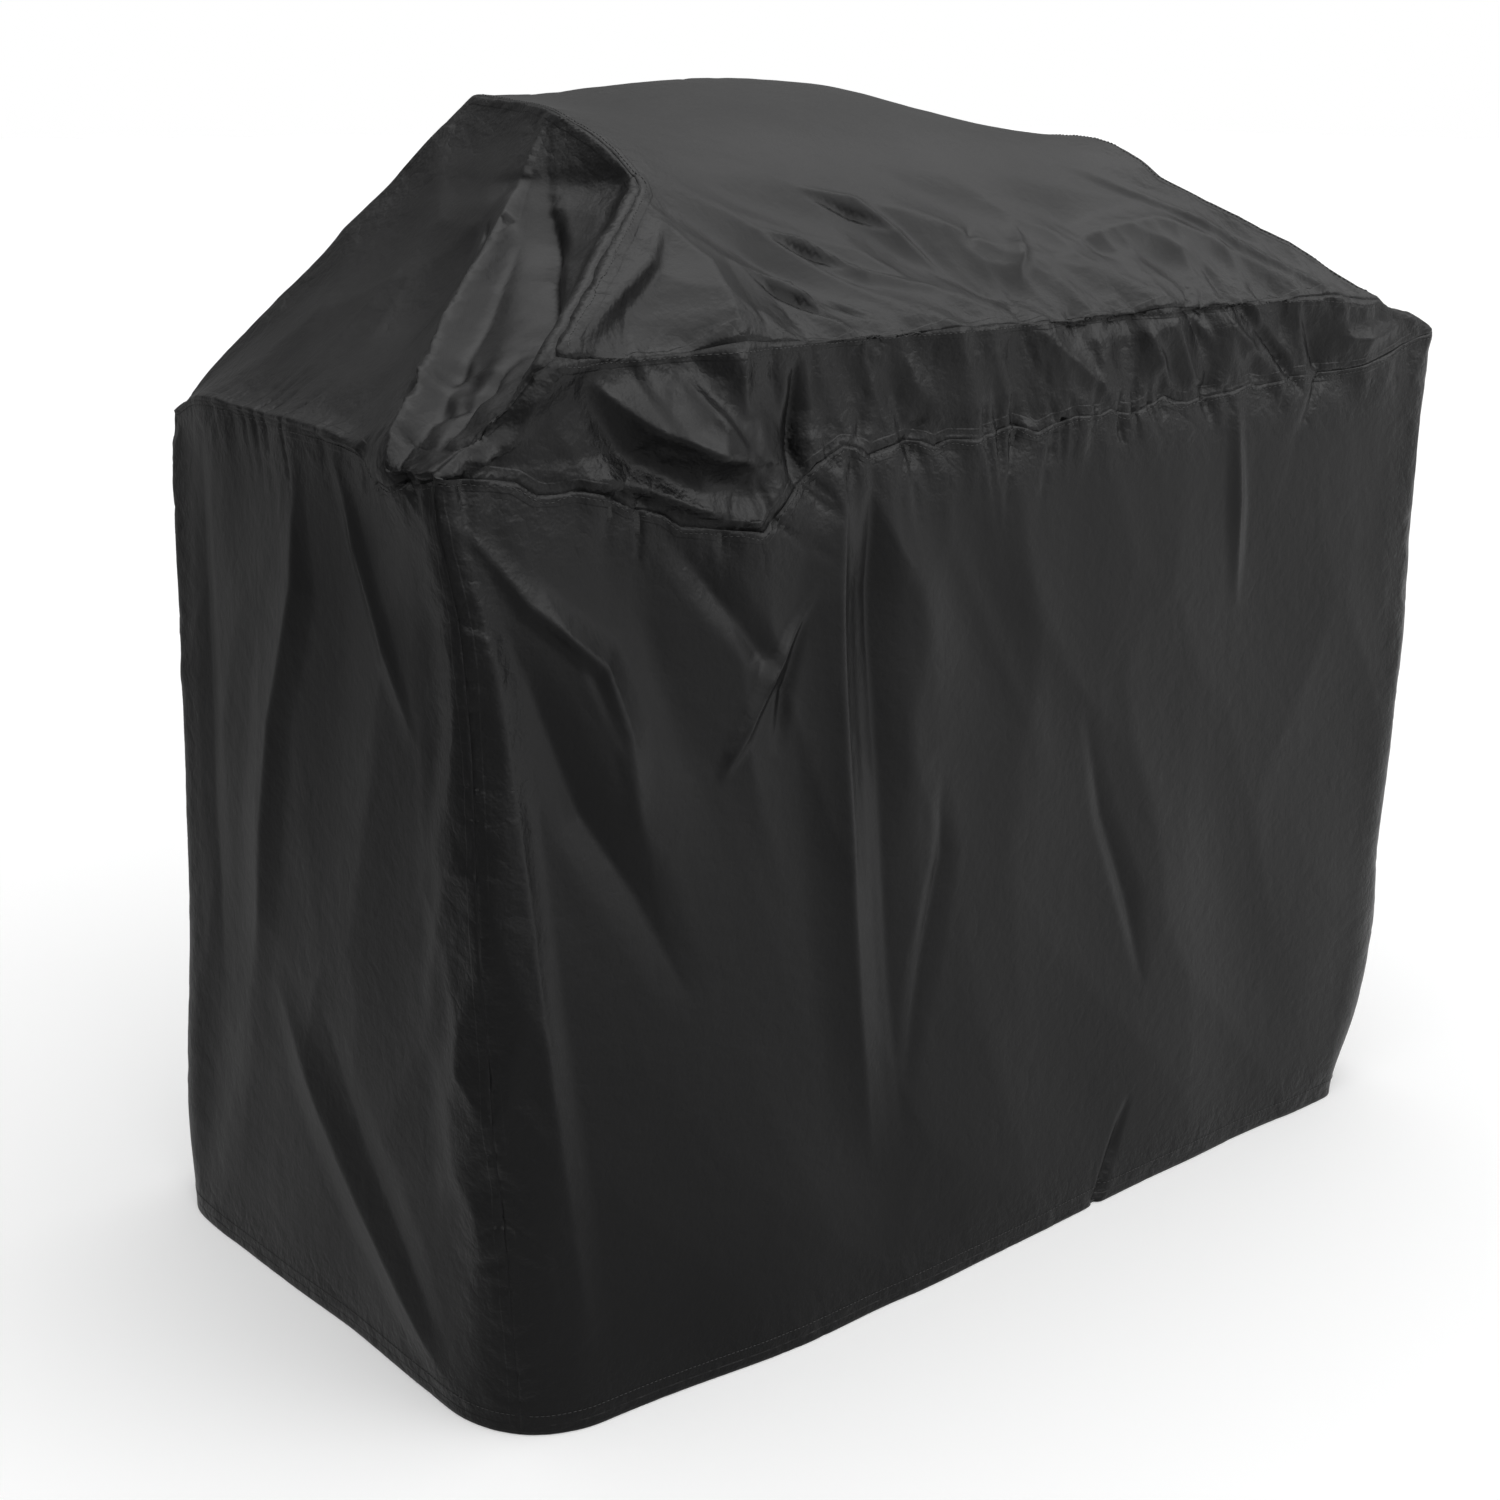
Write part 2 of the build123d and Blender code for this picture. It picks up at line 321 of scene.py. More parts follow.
def build_cloth(step, sagging=True):
    """The whole cover as one welded mesh, in the shape it is cut to."""
    cloth = Cloth(step)
    heights = spread(0, SHELF_Z, step)
    for side, (corner, _) in WALL_CORNERS.items():
        flat = np.stack([np.full(len(heights), -wall_width(side)), heights], 1)
        cloth.seam(f"corner_{corner}", wall_from_flat(side, flat))
    for side, (first, last) in WALL_CORNERS.items():
        across = spread(-wall_width(side), wall_width(side), step)
        for line, z, end in (("hem", 0.0, 0), ("shelf", SHELF_Z, -1)):
            flat = np.stack([across, np.full(len(across), z)], 1)
            run = wall_from_flat(side, flat)
            if line == "shelf" and sagging:
                flat[:, 1] -= seam_sag(side, run[:, 0], run[:, 1])
            ends = [cloth.seams[f"corner_{corner}"][end] for corner in (first, last)]
            cloth.seam(f"{line}_{side}", wall_from_flat(side, flat), *ends)

    shelf = {corner: cloth.seams[f"corner_{corner}"][-1] for corner, _ in WALL_CORNERS.values()}
    rises = spread(0, HOOD_RUN, step)
    slope_share = np.clip(rises / SLOPE_LENGTH, 0, 1)
    for side, toward in (("left", -1), ("right", 1)):
        foot = np.array(cloth.points[shelf[f"front_{side}"]])
        tip = np.array([toward * SHOULDER_X, -SHELF_Y, UPPER_SEAM_Z])
        share = spread(0, 1, step / np.linalg.norm(tip - foot))[:, None]
        cloth.seam(f"band_{side}", foot + (tip - foot) * share, start=shelf[f"front_{side}"])
        x = toward * (SHOULDER_X + (HOOD_X - SHOULDER_X) * slope_share)
        line = hood_from_flat(np.stack([x, rises], 1))
        cloth.seam(f"hood_{side}", line, start=cloth.seams[f"band_{side}"][-1])
        foot = np.array(cloth.points[shelf[f"back_{side}"]])
        tip = line[-1]
        share = spread(0, 1, step / np.linalg.norm(tip - foot))[:, None]
        ends = shelf[f"back_{side}"], cloth.seams[f"hood_{side}"][-1]
        cloth.seam(f"back_{side}", foot + (tip - foot) * share, *ends)
    across = spread(-SHOULDER_X, SHOULDER_X, step)
    line = band_from_flat(np.stack([across, np.full(len(across), UPPER_SEAM_Z)], 1))
    cloth.seam("upper", line, cloth.seams["band_left"][-1], cloth.seams["band_right"][-1])
    across = spread(-HOOD_X, HOOD_X, step)
    line = np.stack([across, np.full(len(across), CREST_BACK_Y), np.full(len(across), CREST_Z)], 1)
    cloth.seam("crest", line, cloth.seams["hood_left"][-1], cloth.seams["hood_right"][-1])

    for side, (first, last) in WALL_CORNERS.items():
        name = f"{side}_skirt" if side in ("front", "back") else f"{side}_end_skirt"
        loop = [f"hem_{side}", f"corner_{last}", f"-shelf_{side}", f"-corner_{first}"]
        cloth.panel(name, loop, lambda p, s=side: wall_to_flat(s, p), lambda f, s=side: wall_from_flat(s, f))
    loop = ["-shelf_front", "band_right", "-upper", "-band_left"]
    cloth.panel("front_band", loop, band_to_flat, band_from_flat)
    cloth.panel("hood_panel", ["upper", "hood_right", "-crest", "-hood_left"], hood_to_flat, hood_from_flat)
    loop = ["shelf_back", "back_right", "-crest", "-back_left"]
    cloth.panel("back_upper_panel", loop, back_to_flat, back_from_flat)
    for side, toward in (("left", -1), ("right", 1)):
        if side == "left":
            loop = ["shelf_left", "back_left", "-hood_left", "-band_left"]
        else:
            loop = ["shelf_right", "band_right", "hood_right", "-back_right"]
        name = f"{side}_shoulder_panel"
        cloth.panel(name, loop, shoulder_to_flat, lambda f, t=toward: shoulder_from_flat(t, f))
    return cloth


# ---------------------------------------------------------------- small geometry helpers
def mesh_object(name, points, faces):
    """Faces are an array, or a list when their corner counts differ."""
    faces = faces.tolist() if isinstance(faces, np.ndarray) else faces
    mesh = bpy.data.meshes.new(name)
    mesh.from_pydata(np.asarray(points).tolist(), [], faces)
    mesh.update()
    mesh.polygons.foreach_set("use_smooth", [True] * len(mesh.polygons))
    piece = bpy.data.objects.new(name, mesh)
    bpy.context.scene.collection.objects.link(piece)
    return piece


def unit(vectors):
    return vectors / np.maximum(np.linalg.norm(vectors, axis=-1, keepdims=True), 1e-12)


def vertex_normals(points, triangles):
    a, b, c = (points[triangles[:, n]] for n in range(3))
    face = np.cross(b - a, c - a)
    normals = np.zeros_like(points)
    for n in range(3):
        for axis in range(3):
            normals[:, axis] += np.bincount(triangles[:, n], face[:, axis], len(points))
    return unit(normals)


def line_distance(points, line):
    """Distance from each point to a polyline, and how far along it the nearest place is, from 0 to 1."""
    line = np.asarray(line, float)
    best = np.full(len(points), np.inf)
    at = np.zeros(len(points))
    lengths = np.linalg.norm(np.diff(line, axis=0), axis=1)
    starts = np.concatenate([[0], np.cumsum(lengths)[:-1]])
    for a, b, length, start in zip(line[:-1], line[1:], lengths, starts):
        along = np.clip(((points - a) @ (b - a)) / max(length**2, 1e-12), 0, 1)
        away = np.linalg.norm(points - (a + along[:, None] * (b - a)), axis=1)
        nearer = away < best
        best[nearer] = away[nearer]
        at[nearer] = ((start + along * length) / lengths.sum())[nearer]
    return best, at


def nearest_line(points, lines):
    """Distance from each point to the nearest of several polylines."""
    near = np.full(len(points), np.inf)
    for line in lines:
        near = np.minimum(near, line_distance(points, line)[0])
    return near


def ripple(values, cell):
    """Smooth random values from -1 to 1 along a line, one knot to a cell."""
    table = rng.uniform(-1, 1, 1024)
    low = np.floor(values / cell).astype(int)
    share = values / cell - low
    share = share * share * (3 - 2 * share)
    return table[low % 1024] * (1 - share) + table[(low + 1) % 1024] * share


def swell(points, wavelength, waves=14):
    """Smooth random values through space, about -1 to 1."""
    total = np.zeros(len(points))
    for _ in range(waves):
        direction = unit(rng.normal(size=3))
        turns = 2 * math.pi / (wavelength * rng.uniform(0.7, 1.5))
        total += np.sin(points @ direction * turns + rng.uniform(0, 2 * math.pi))
    return total / math.sqrt(waves)


# ---------------------------------------------------------------- how the worn cover differs
# centre, reach and shift of each place where the grill inside pushes or the cloth hangs differently
NUDGES = (
    ((-0.61, -0.305, 0.885), 0.10, (-0.025, 0, 0)),
    ((-0.61, 0.305, 0.885), 0.06, (0.003, -0.009, -0.022)),
    ((-0.57, 0.27, 0.95), 0.06, (0.010, -0.004, -0.007)),
    ((-0.635, 0.33, 0.0), 0.06, (0.022, 0, 0)),
    ((-0.47, 0.23, 1.03), 0.13, (0.009, -0.003, -0.007)),
    ((-0.635, 0.33, 0.0), 0.35, (-0.038, 0, 0)),
    ((-0.635, -0.33, 0.0), 0.30, (0.022, 0, 0)),
    ((-0.20, -0.33, 0.0), 0.34, (0, -0.022, 0)),
    ((0.635, -0.33, 0.0), 0.055, (-0.050, 0.028, 0)),
    ((0.635, -0.33, 0.17), 0.10, (0.016, -0.004, 0)),
    ((0.61, -0.305, 0.885), 0.09, (0.012, 0, 0.030)),
    ((0.625, -0.32, 0.50), 0.34, (0.028, -0.008, 0)),
    ((0.515, -0.305, 0.966), 0.06, (0, 0, -0.015)),
    ((-0.368, -0.005, 1.088), 0.065, (-0.027, 0, 0.006)),
    ((-0.30, 0.10, 1.17), 0.12, (0.006, 0, -0.012)),
    ((0.33, 0.10, 1.17), 0.14, (-0.020, 0, -0.050)),
    ((0.38, 0.02, 1.11), 0.09, (-0.006, 0, -0.018)),
    ((0.0, 0.12, 1.17), 0.22, (0, 0, 0.010)),
)

# Each fold is a line of rows: x, y, z, height, width to its left, width to its right, all in millimetres.
# Left and right are seen from outside, looking along the line.
FOLDS = (
    # left shoulder: the wedge from the hood end to the front shelf corner, its valley, and the ridge beyond
    (
        (-335, -9, 1142, 1, 5, 8), (-372, -33, 1098, 10, 9, 26), (-426, -68, 1035, 15, 12, 45),
        (-509, -134, 974, 24, 18, 90), (-590, -221, 902, 16, 15, 90),
    ),
    (
        (-334, -17, 1141, 0, 5, 10), (-396, -102, 1052, -9, 14, 35), (-486, -230, 986, -12, 18, 45),
        (-546, -305, 921, -4, 10, 20),
    ),
    (
        (-334, -140, 1086, 4, 30, 14), (-365, -168, 1064, 9, 60, 24), (-502, -288, 975, 12, 55, 26),
        (-534, -305, 937, 8, 25, 14), (-549, -305, 909, 4, 20, 10),
    ),
    ((-504, -221, 975, 0, 8, 8), (-545, -245, 940, -8, 10, 12), (-585, -267, 907, -3, 8, 8)),
    # the turned lip at the front left shelf corner
    (
        (-612, -235, 884, 0, 20, 3), (-612, -275, 884, 8, 28, 3), (-600, -304, 884, 9, 28, 3),
        (-570, -306, 892, 9, 26, 3), (-545, -306, 903, 3, 18, 3),
    ),
    (
        (-592, -250, 902, 0, 8, 5), (-586, -290, 907, -5, 12, 6), (-565, -305, 913, -5, 12, 6),
        (-545, -305, 917, 0, 8, 5),
    ),
    # left shoulder: edge over the end skirt
    (
        (-611, 280, 886, 0, 25, 3), (-611, 170, 886, 4, 30, 3), (-611, -20, 886, 4, 30, 3),
        (-611, -80, 886, 7, 25, 5), (-611, -150, 882, 2, 20, 3),
    ),
    ((-400, 60, 1075, 0, 40, 40), (-500, 60, 985, 4, 60, 60), (-590, 60, 905, 0, 40, 40)),
    # hood: corner crease at the left front, drag folds down to the right
    (
        (-341, -163, 1075, 0, 30, 20), (-323, -232, 1022, 14, 70, 60), (-340, -290, 978, 14, 70, 60),
        (-345, -305, 940, 8, 40, 30), (-340, -305, 905, 0, 30, 15),
    ),
    (
        (-342, -190, 1055, 3, 10, 14), (-380, -228, 1026, 8, 13, 26), (-437, -262, 1000, 8, 12, 24),
        (-485, -292, 976, 2, 10, 15),
    ),
    (
        (-277, -219, 1032, 0, 7, 7), (-245, -250, 1009, -7, 8, 9), (-212, -281, 985, -7, 8, 9),
        (-158, -305, 934, 0, 7, 7),
    ),
    ((-224, -183, 1060, 0, 7, 7), (-185, -206, 1042, -7, 8, 9), (-147, -230, 1024, 0, 7, 7)),
    ((-142, -142, 1091, 0, 7, 7), (-100, -166, 1072, -6, 8, 9), (-58, -191, 1053, 0, 7, 7)),
    ((-205, -254, 1005, 0, 6, 6), (-188, -268, 994, -6, 7, 7), (-172, -284, 982, 0, 6, 6)),
    (
        (-337, 5, 1142, -1, 6, 6), (-419, -39, 1043, -4, 7, 7), (-500, -115, 975, -4, 7, 7),
        (-579, -199, 912, -2, 6, 6),
    ),
    (
        (-143, -136, 1095, 0, 8, 10), (-90, -156, 1081, 4, 14, 22), (-62, -190, 1054, 5, 14, 26),
        (-33, -239, 1016, 0, 8, 10),
    ),
    (
        (-232, -181, 1061, 0, 8, 8), (-185, -195, 1050, 5, 12, 18), (-141, -233, 1022, 6, 12, 20),
        (-62, -256, 1004, 0, 8, 10),
    ),
    (
        (-284, -217, 1034, 0, 8, 8), (-233, -241, 1015, 6, 12, 22), (-215, -290, 978, 6, 12, 20),
        (-159, -305, 930, 0, 10, 12),
    ),
    ((41, -181, 1061, 0, 8, 8), (25, -197, 1049, -4, 10, 10), (10, -213, 1037, 0, 8, 8)),
    (
        (96, -177, 1064, 0, 8, 8), (83, -203, 1044, 4, 12, 16), (55, -235, 1020, 5, 14, 18),
        (24, -266, 996, 0, 10, 10),
    ),
    (
        (120, -228, 1026, 0, 20, 20), (164, -211, 1038, 3, 30, 30), (272, -203, 1044, 7, 40, 60),
        (314, -223, 1029, 7, 40, 60), (435, -305, 951, 0, 20, 30),
    ),
    (
        (208, -105, 1115, 0, 20, 12), (320, -200, 1046, 4, 25, 12), (428, -300, 970, 4, 25, 12),
        (480, -305, 945, 0, 15, 12),
    ),
    # upper seam drawn in
    (
        (-60, -305, 966, 0, 12, 12), (30, -305, 962, -3, 14, 16), (90, -305, 960, -6, 12, 20),
        (285, -305, 962, -6, 12, 20), (330, -305, 966, 0, 12, 12),
    ),
    # front band: pouch under the left hood corner, then slanting folds to the right
    (
        (-480, -305, 948, 2, 18, 12), (-432, -305, 905, 22, 60, 30), (-378, -305, 880, 25, 76, 34),
        (-335, -305, 870, 8, 50, 22),
    ),
    ((-400, -305, 952, 0, 10, 14), (-378, -305, 915, 8, 12, 26), (-340, -305, 876, 0, 10, 14)),
    (
        (-530, -305, 880, 0, 15, 5), (-440, -305, 856, 8, 28, 8), (-380, -305, 830, 11, 30, 10),
        (-330, -305, 812, 8, 25, 8), (-295, -305, 850, 0, 15, 8),
    ),
    (
        (-277, -305, 955, 0, 10, 10), (-275, -305, 905, -11, 18, 20), (-278, -305, 870, -10, 16, 18),
        (-281, -306, 835, 0, 10, 10),
    ),
    ((11, -305, 963, 0, 10, 10), (60, -305, 925, 5, 14, 22), (125, -305, 878, 0, 10, 10)),
    ((151, -305, 959, 0, 10, 10), (180, -305, 915, 6, 12, 24), (208, -305, 872, 0, 10, 10)),
    ((269, -305, 957, 0, 10, 10), (315, -305, 920, 6, 12, 24), (358, -305, 885, 0, 10, 10)),
    (
        (293, -242, 1014, 0, 8, 8), (286, -297, 972, -4, 12, 12), (330, -305, 935, -6, 10, 12),
        (366, -305, 903, -6, 10, 12), (402, -306, 863, 0, 8, 8),
    ),
    ((440, -305, 925, 0, 20, 20), (497, -305, 917, 5, 28, 26), (555, -305, 915, 0, 20, 20)),
    # front skirt: broad facets beside the left corner
    (
        (-595, -305, 860, 0, 15, 20), (-587, -308, 740, 6, 25, 60), (-575, -312, 600, 10, 30, 90),
        (-565, -318, 430, 9, 30, 90), (-550, -322, 220, 4, 30, 60), (-540, -326, 80, 0, 20, 40),
    ),
    (
        (-590, -306, 850, 0, 15, 8), (-549, -308, 774, 6, 25, 12), (-485, -311, 712, 9, 30, 12),
        (-462, -313, 650, 5, 30, 15), (-450, -315, 560, 0, 20, 15),
    ),
    (
        (-570, -307, 760, 0, 15, 15), (-540, -309, 680, -5, 30, 30), (-505, -312, 585, -8, 40, 35),
        (-455, -316, 500, -6, 40, 40), (-400, -320, 380, 0, 30, 30),
    ),
    (
        (-430, -307, 835, 0, 20, 20), (-375, -309, 770, -6, 28, 25), (-320, -312, 700, -5, 22, 20),
        (-300, -313, 680, 0, 15, 15),
    ),
    # front skirt: the upright pair and the V beside it
    (
        (-226, -305, 865, 2, 18, 20), (-232, -309, 735, 9, 26, 50), (-226, -315, 579, 10, 28, 50),
        (-210, -322, 334, 6, 30, 50), (-190, -326, 150, 0, 25, 40),
    ),
    (
        (-190, -305, 862, -2, 15, 14), (-188, -309, 735, -8, 38, 28), (-180, -315, 579, -7, 42, 32),
        (-166, -322, 334, -4, 42, 34), (-150, -326, 150, 0, 30, 25),
    ),
    (
        (-255, -310, 752, 0, 6, 6), (-310, -312, 672, 8, 12, 14), (-350, -314, 610, 5, 16, 12),
        (-362, -315, 585, 0, 10, 10),
    ),
    ((-268, -311, 722, 0, 6, 6), (-290, -313, 660, -7, 14, 12), (-300, -314, 600, 0, 12, 12)),
    # front skirt: the fainter folds of the right half
    (
        (-104, -312, 545, 0, 14, 14), (-100, -317, 460, -4, 24, 18), (-125, -320, 360, -4, 28, 22),
        (-150, -324, 220, 0, 14, 14),
    ),
    (
        (92, -313, 575, 0, 12, 12), (125, -317, 450, -3, 22, 16), (165, -320, 350, -4, 26, 18),
        (195, -323, 240, 0, 12, 12),
    ),
    ((297, -305, 868, 2, 14, 14), (305, -309, 760, 5, 18, 18), (312, -312, 640, 0, 14, 14)),
    ((183, -326, 118, 0, 8, 8), (160, -327, 60, -5, 8, 10), (132, -329, 2, -6, 8, 10)),
    ((-142, -305, 862, -3, 8, 8), (-132, -307, 780, 0, 8, 8)),
    ((-30, -305, 866, -3, 8, 8), (-33, -307, 800, 0, 8, 8)),
    ((48, -305, 869, -4, 7, 7), (47, -307, 815, 0, 7, 7)),
    # left end skirt: long facets
    (
        (-612, -15, 870, 0, 10, 20), (-616, -10, 740, 6, 30, 60), (-620, 50, 600, 6, 35, 60),
        (-624, 80, 480, 5, 40, 60), (-628, 110, 300, 0, 30, 50),
    ),
    (
        (-612, -85, 875, 0, 10, 12), (-614, -125, 800, 6, 18, 25), (-616, -165, 740, 5, 20, 30),
        (-619, -215, 640, 0, 12, 20),
    ),
    (
        (-628, 70, 340, 0, 30, 30), (-632, 0, 250, 4, 45, 45), (-634, -90, 150, 5, 45, 45),
        (-633, -190, 60, 3, 35, 35), (-632, -240, 15, 0, 20, 20),
    ),
    (
        (-626, -20, 340, 0, 30, 30), (-631, -80, 240, -3, 45, 45), (-633, -160, 140, -3, 45, 45),
        (-632, -220, 60, 0, 20, 20),
    ),
    (
        (-612, 205, 870, 0, 20, 20), (-618, 215, 700, -4, 35, 35), (-624, 205, 480, -3, 40, 40),
        (-630, 190, 250, 0, 30, 30),
    ),
    # right end skirt and back skirt
    (
        (612, 100, 870, 0, 15, 15), (618, 90, 650, 8, 25, 35), (626, 60, 350, 6, 30, 40),
        (632, 40, 120, 0, 30, 30),
    ),
    (
        (612, -120, 870, 0, 15, 15), (618, -90, 620, -8, 30, 25), (626, -70, 330, -5, 35, 30),
        (632, -60, 120, 0, 30, 30),
    ),
    (
        (-300, 306, 865, 0, 20, 20), (-270, 312, 640, 9, 40, 30), (-250, 320, 330, 5, 40, 30),
        (-240, 326, 120, 0, 30, 30),
    ),
    (
        (120, 306, 865, 0, 20, 20), (100, 312, 620, -8, 30, 40), (110, 320, 300, -5, 30, 40),
        (120, 326, 120, 0, 30, 30),
    ),
    (
        (560, 306, 860, 0, 15, 15), (480, 310, 740, 7, 18, 30), (400, 314, 600, 5, 20, 30),
        (350, 318, 470, 0, 20, 20),
    ),
)
FOLD_SHARPNESS = 1.5
FOLD_GAIN = 1.5


def nudged(points):
    moved = points.copy()
    for centre, reach, shift in NUDGES:
        away = np.linalg.norm(points - np.array(centre), axis=1)
        moved += np.exp(-((away / reach) ** 2))[:, None] * np.array(shift)
    return moved


def fold_height(points, normals, rows):
    """How far one fold pushes each point of the cut shape outwards."""
    rows = np.array(rows) * 0.001
    best = np.full(len(points), np.inf)
    height = np.zeros(len(points))
    for start, end in zip(rows[:-1], rows[1:]):
        step = end[:3] - start[:3]
        along = np.clip((points - start[:3]) @ step / (step @ step), 0, 1)
        offset = points - (start[:3] + along[:, None] * step)
        away = np.linalg.norm(offset, axis=1)
        to_right = np.einsum("ij,ij->i", offset, np.cross(step, normals)) > 0
        rise, left, right = (start[n] + (end[n] - start[n]) * along for n in (3, 4, 5))
        share = np.clip(1 - away / np.where(to_right, right, left), 0, 1)
        nearer = away < best
        best[nearer] = away[nearer]
        height[nearer] = (FOLD_GAIN * rise * share**FOLD_SHARPNESS)[nearer]
    return height


# ---------------------------------------------------------------- draping
FORM_GAP_EDGE = 0.003
FORM_GAP_MIDDLE = 0.022
FORM_REACH = 0.07
WALL_SLACK = 0.003
END_SLACK = 0.016
FRONT_LEFT_SLACK = 0.009
LOOSE_FROM_HEM = 0.20
LOOSE_TO_SHELF = 0.12
SHELF_FADE = 0.10
DRAPE_FRAMES = 32
CLOTH_PHYSICS = {
    "quality": 5,
    "mass": 0.15,
    "tension_stiffness": 30,
    "compression_stiffness": 30,
    "shear_stiffness": 10,
    "bending_stiffness": 0.5,
    "tension_damping": 12,
    "compression_damping": 12,
    "shear_damping": 8,
    "bending_damping": 2,
    "air_damping": 2.5,
    "vertex_group_mass": "pins",
}


def form_under():
    """The grill under the cover: close to the cloth along the seams, further in between them."""
    under = build_cloth(FORM_STEP, sagging=False)
    cut = np.array(under.points)
    faces = np.array(under.triangles)
    near = nearest_line(cut, [cut[ids] for name, ids in under.seams.items() if not name.startswith("hem")])
    inset = FORM_GAP_EDGE + (FORM_GAP_MIDDLE - FORM_GAP_EDGE) * (1 - np.exp(-((near / FORM_REACH) ** 2)))
    worn = nudged(cut)
    form = mesh_object("form", worn - vertex_normals(worn, faces) * inset[:, None], faces)
    form.modifiers.new("form", "COLLISION")
    form.collision.thickness_outer = 0.002
    form.collision.cloth_friction = 8
    return form


def slackened(points):
    """The size the cloth is really cut to: a little loose everywhere, and more across the lower walls."""
    z = points[:, 2]
    low = np.clip(z / LOOSE_FROM_HEM, 0, 1) * np.clip((SHELF_Z - z) / LOOSE_TO_SHELF, 0, 1)
    cut = points * (1 + WALL_SLACK * np.clip((SHELF_Z + SHELF_FADE / 2 - z) / SHELF_FADE, 0, 1))[:, None]
    cut[:, 0] += FRONT_LEFT_SLACK * np.minimum(points[:, 0], 0) * low
    cut[:, 1] += END_SLACK * points[:, 1] * low
    return cut


def drape(points, triangles, frames):
    """Lets the cloth settle over the form, and returns where its points end up."""
    scene = bpy.context.scene
    form = form_under()
    sheet = mesh_object("drape", nudged(points), triangles)
    sheet.shape_key_add(name="worn")
    rest = sheet.shape_key_add(name="cut")
    rest.data.foreach_set("co", slackened(nudged(points)).ravel())
    rest.value = 0
    pins = sheet.vertex_groups.new(name="pins")
    pins.add(np.nonzero(points[:, 2] < 0.5 * CLOTH_STEP)[0].tolist(), 1.0, "REPLACE")
    modifier = sheet.modifiers.new("cloth", "CLOTH")
    for name, value in CLOTH_PHYSICS.items():
        setattr(modifier.settings, name, value)
    modifier.settings.rest_shape_key = rest
    modifier.collision_settings.distance_min = 0.003
    modifier.collision_settings.collision_quality = 2
    modifier.collision_settings.use_self_collision = False
    modifier.point_cache.frame_start = 1
    modifier.point_cache.frame_end = frames
    for number in range(1, frames + 1):
        scene.frame_set(number)
    done = sheet.evaluated_get(bpy.context.evaluated_depsgraph_get())
    moved = np.zeros(len(points) * 3)
    done.data.vertices.foreach_get("co", moved)
    scene.frame_set(1)
    for temporary in (form, sheet):
        mesh = temporary.data
        bpy.data.objects.remove(temporary)
        bpy.data.meshes.remove(mesh)
    return moved.reshape(-1, 3)


SETTLE_PASSES = 5
SETTLE_KEPT = 0.4


def settled(points, moved, triangles):
    """The draped shape without the ripples that are only as long as the mesh spacing."""
    edges = np.unique(np.sort(triangles[:, [0, 1, 1, 2, 2, 0]].reshape(-1, 2), axis=1), axis=0)
    ends = np.concatenate([edges, edges[:, ::-1]])
    counts = np.bincount(ends[:, 0], minlength=len(points))[:, None]
    shift = moved - points
    for _ in range(SETTLE_PASSES):
        around = np.stack([np.bincount(ends[:, 0], shift[ends[:, 1], n], len(points)) for n in range(3)], 1)
        shift = SETTLE_KEPT * shift + (1 - SETTLE_KEPT) * around / counts
    return points + shift


# ---------------------------------------------------------------- finer mesh
FINE_EDGE = 0.0038
PLAIN_EDGE = 0.009
FINE_REACH = 0.030
SPLIT_OVER = 1.35  # times the wanted edge length
ROUNDING = 0.75


def detail_distance(points, cloth):
    """Distance to the nearest seam or fold line of the cut shape."""
    seams = [np.array(cloth.points)[ids][::3] for ids in cloth.seams.values()]
    return nearest_line(points, seams + [np.array(rows)[:, :3] * 0.001 for rows in FOLDS])


def refine(cut, worn, faces, owners, cloth):
    """Splits the edges that are too long; new points follow the cloth's curve."""
    normals = vertex_normals(worn, faces)
    near = detail_distance(cut, cloth)
    edges = np.sort(faces[:, [0, 1, 1, 2, 2, 0]].reshape(-1, 2), axis=1)
    edges, which = np.unique(edges, axis=0, return_inverse=True)
    a, b = edges.T
    target = np.where(np.minimum(near[a], near[b]) < FINE_REACH, FINE_EDGE, PLAIN_EDGE)
    split = np.linalg.norm(cut[a] - cut[b], axis=1) > SPLIT_OVER * target
    middles = np.full(len(edges), -1)
    middles[split] = len(cut) + np.arange(split.sum())
    a, b = a[split], b[split]
    middle = (worn[a] + worn[b]) / 2
    for end in (a, b):
        lift = np.einsum("ij,ij->i", worn[end] - middle, normals[end])
        middle = middle + 0.5 * ROUNDING * lift[:, None] * normals[end]
    cut = np.concatenate([cut, (cut[a] + cut[b]) / 2])
    worn = np.concatenate([worn, middle])

    corner = faces
    middle = middles[which.reshape(-1, 3)]
    count = (middle >= 0).sum(1)
    new_faces, new_owners = [corner[count == 0]], [owners[count == 0]]

    def add(mask, *columns):
        new_faces.append(np.stack(columns, 1)[mask])
        new_owners.append(owners[mask])

    for turn in range(3):
        p, q, r = (corner[:, (turn + n) % 3] for n in range(3))
        pq, qr, rp = (middle[:, (turn + n) % 3] for n in range(3))
        one = (count == 1) & (pq >= 0)
        add(one, p, pq, r)
        add(one, pq, q, r)
        two = (count == 2) & (rp < 0)
        add(two, pq, q, qr)
        add(two, p, pq, qr)
        add(two, p, qr, r)
        add(count == 3, p, pq, rp)
    add(count == 3, *middle.T)
    return cut, worn, np.concatenate(new_faces), np.concatenate(new_owners)


# ---------------------------------------------------------------- small wrinkles
HANGING_STRETCH = 0.3  # on the walls, small swells are longer than wide
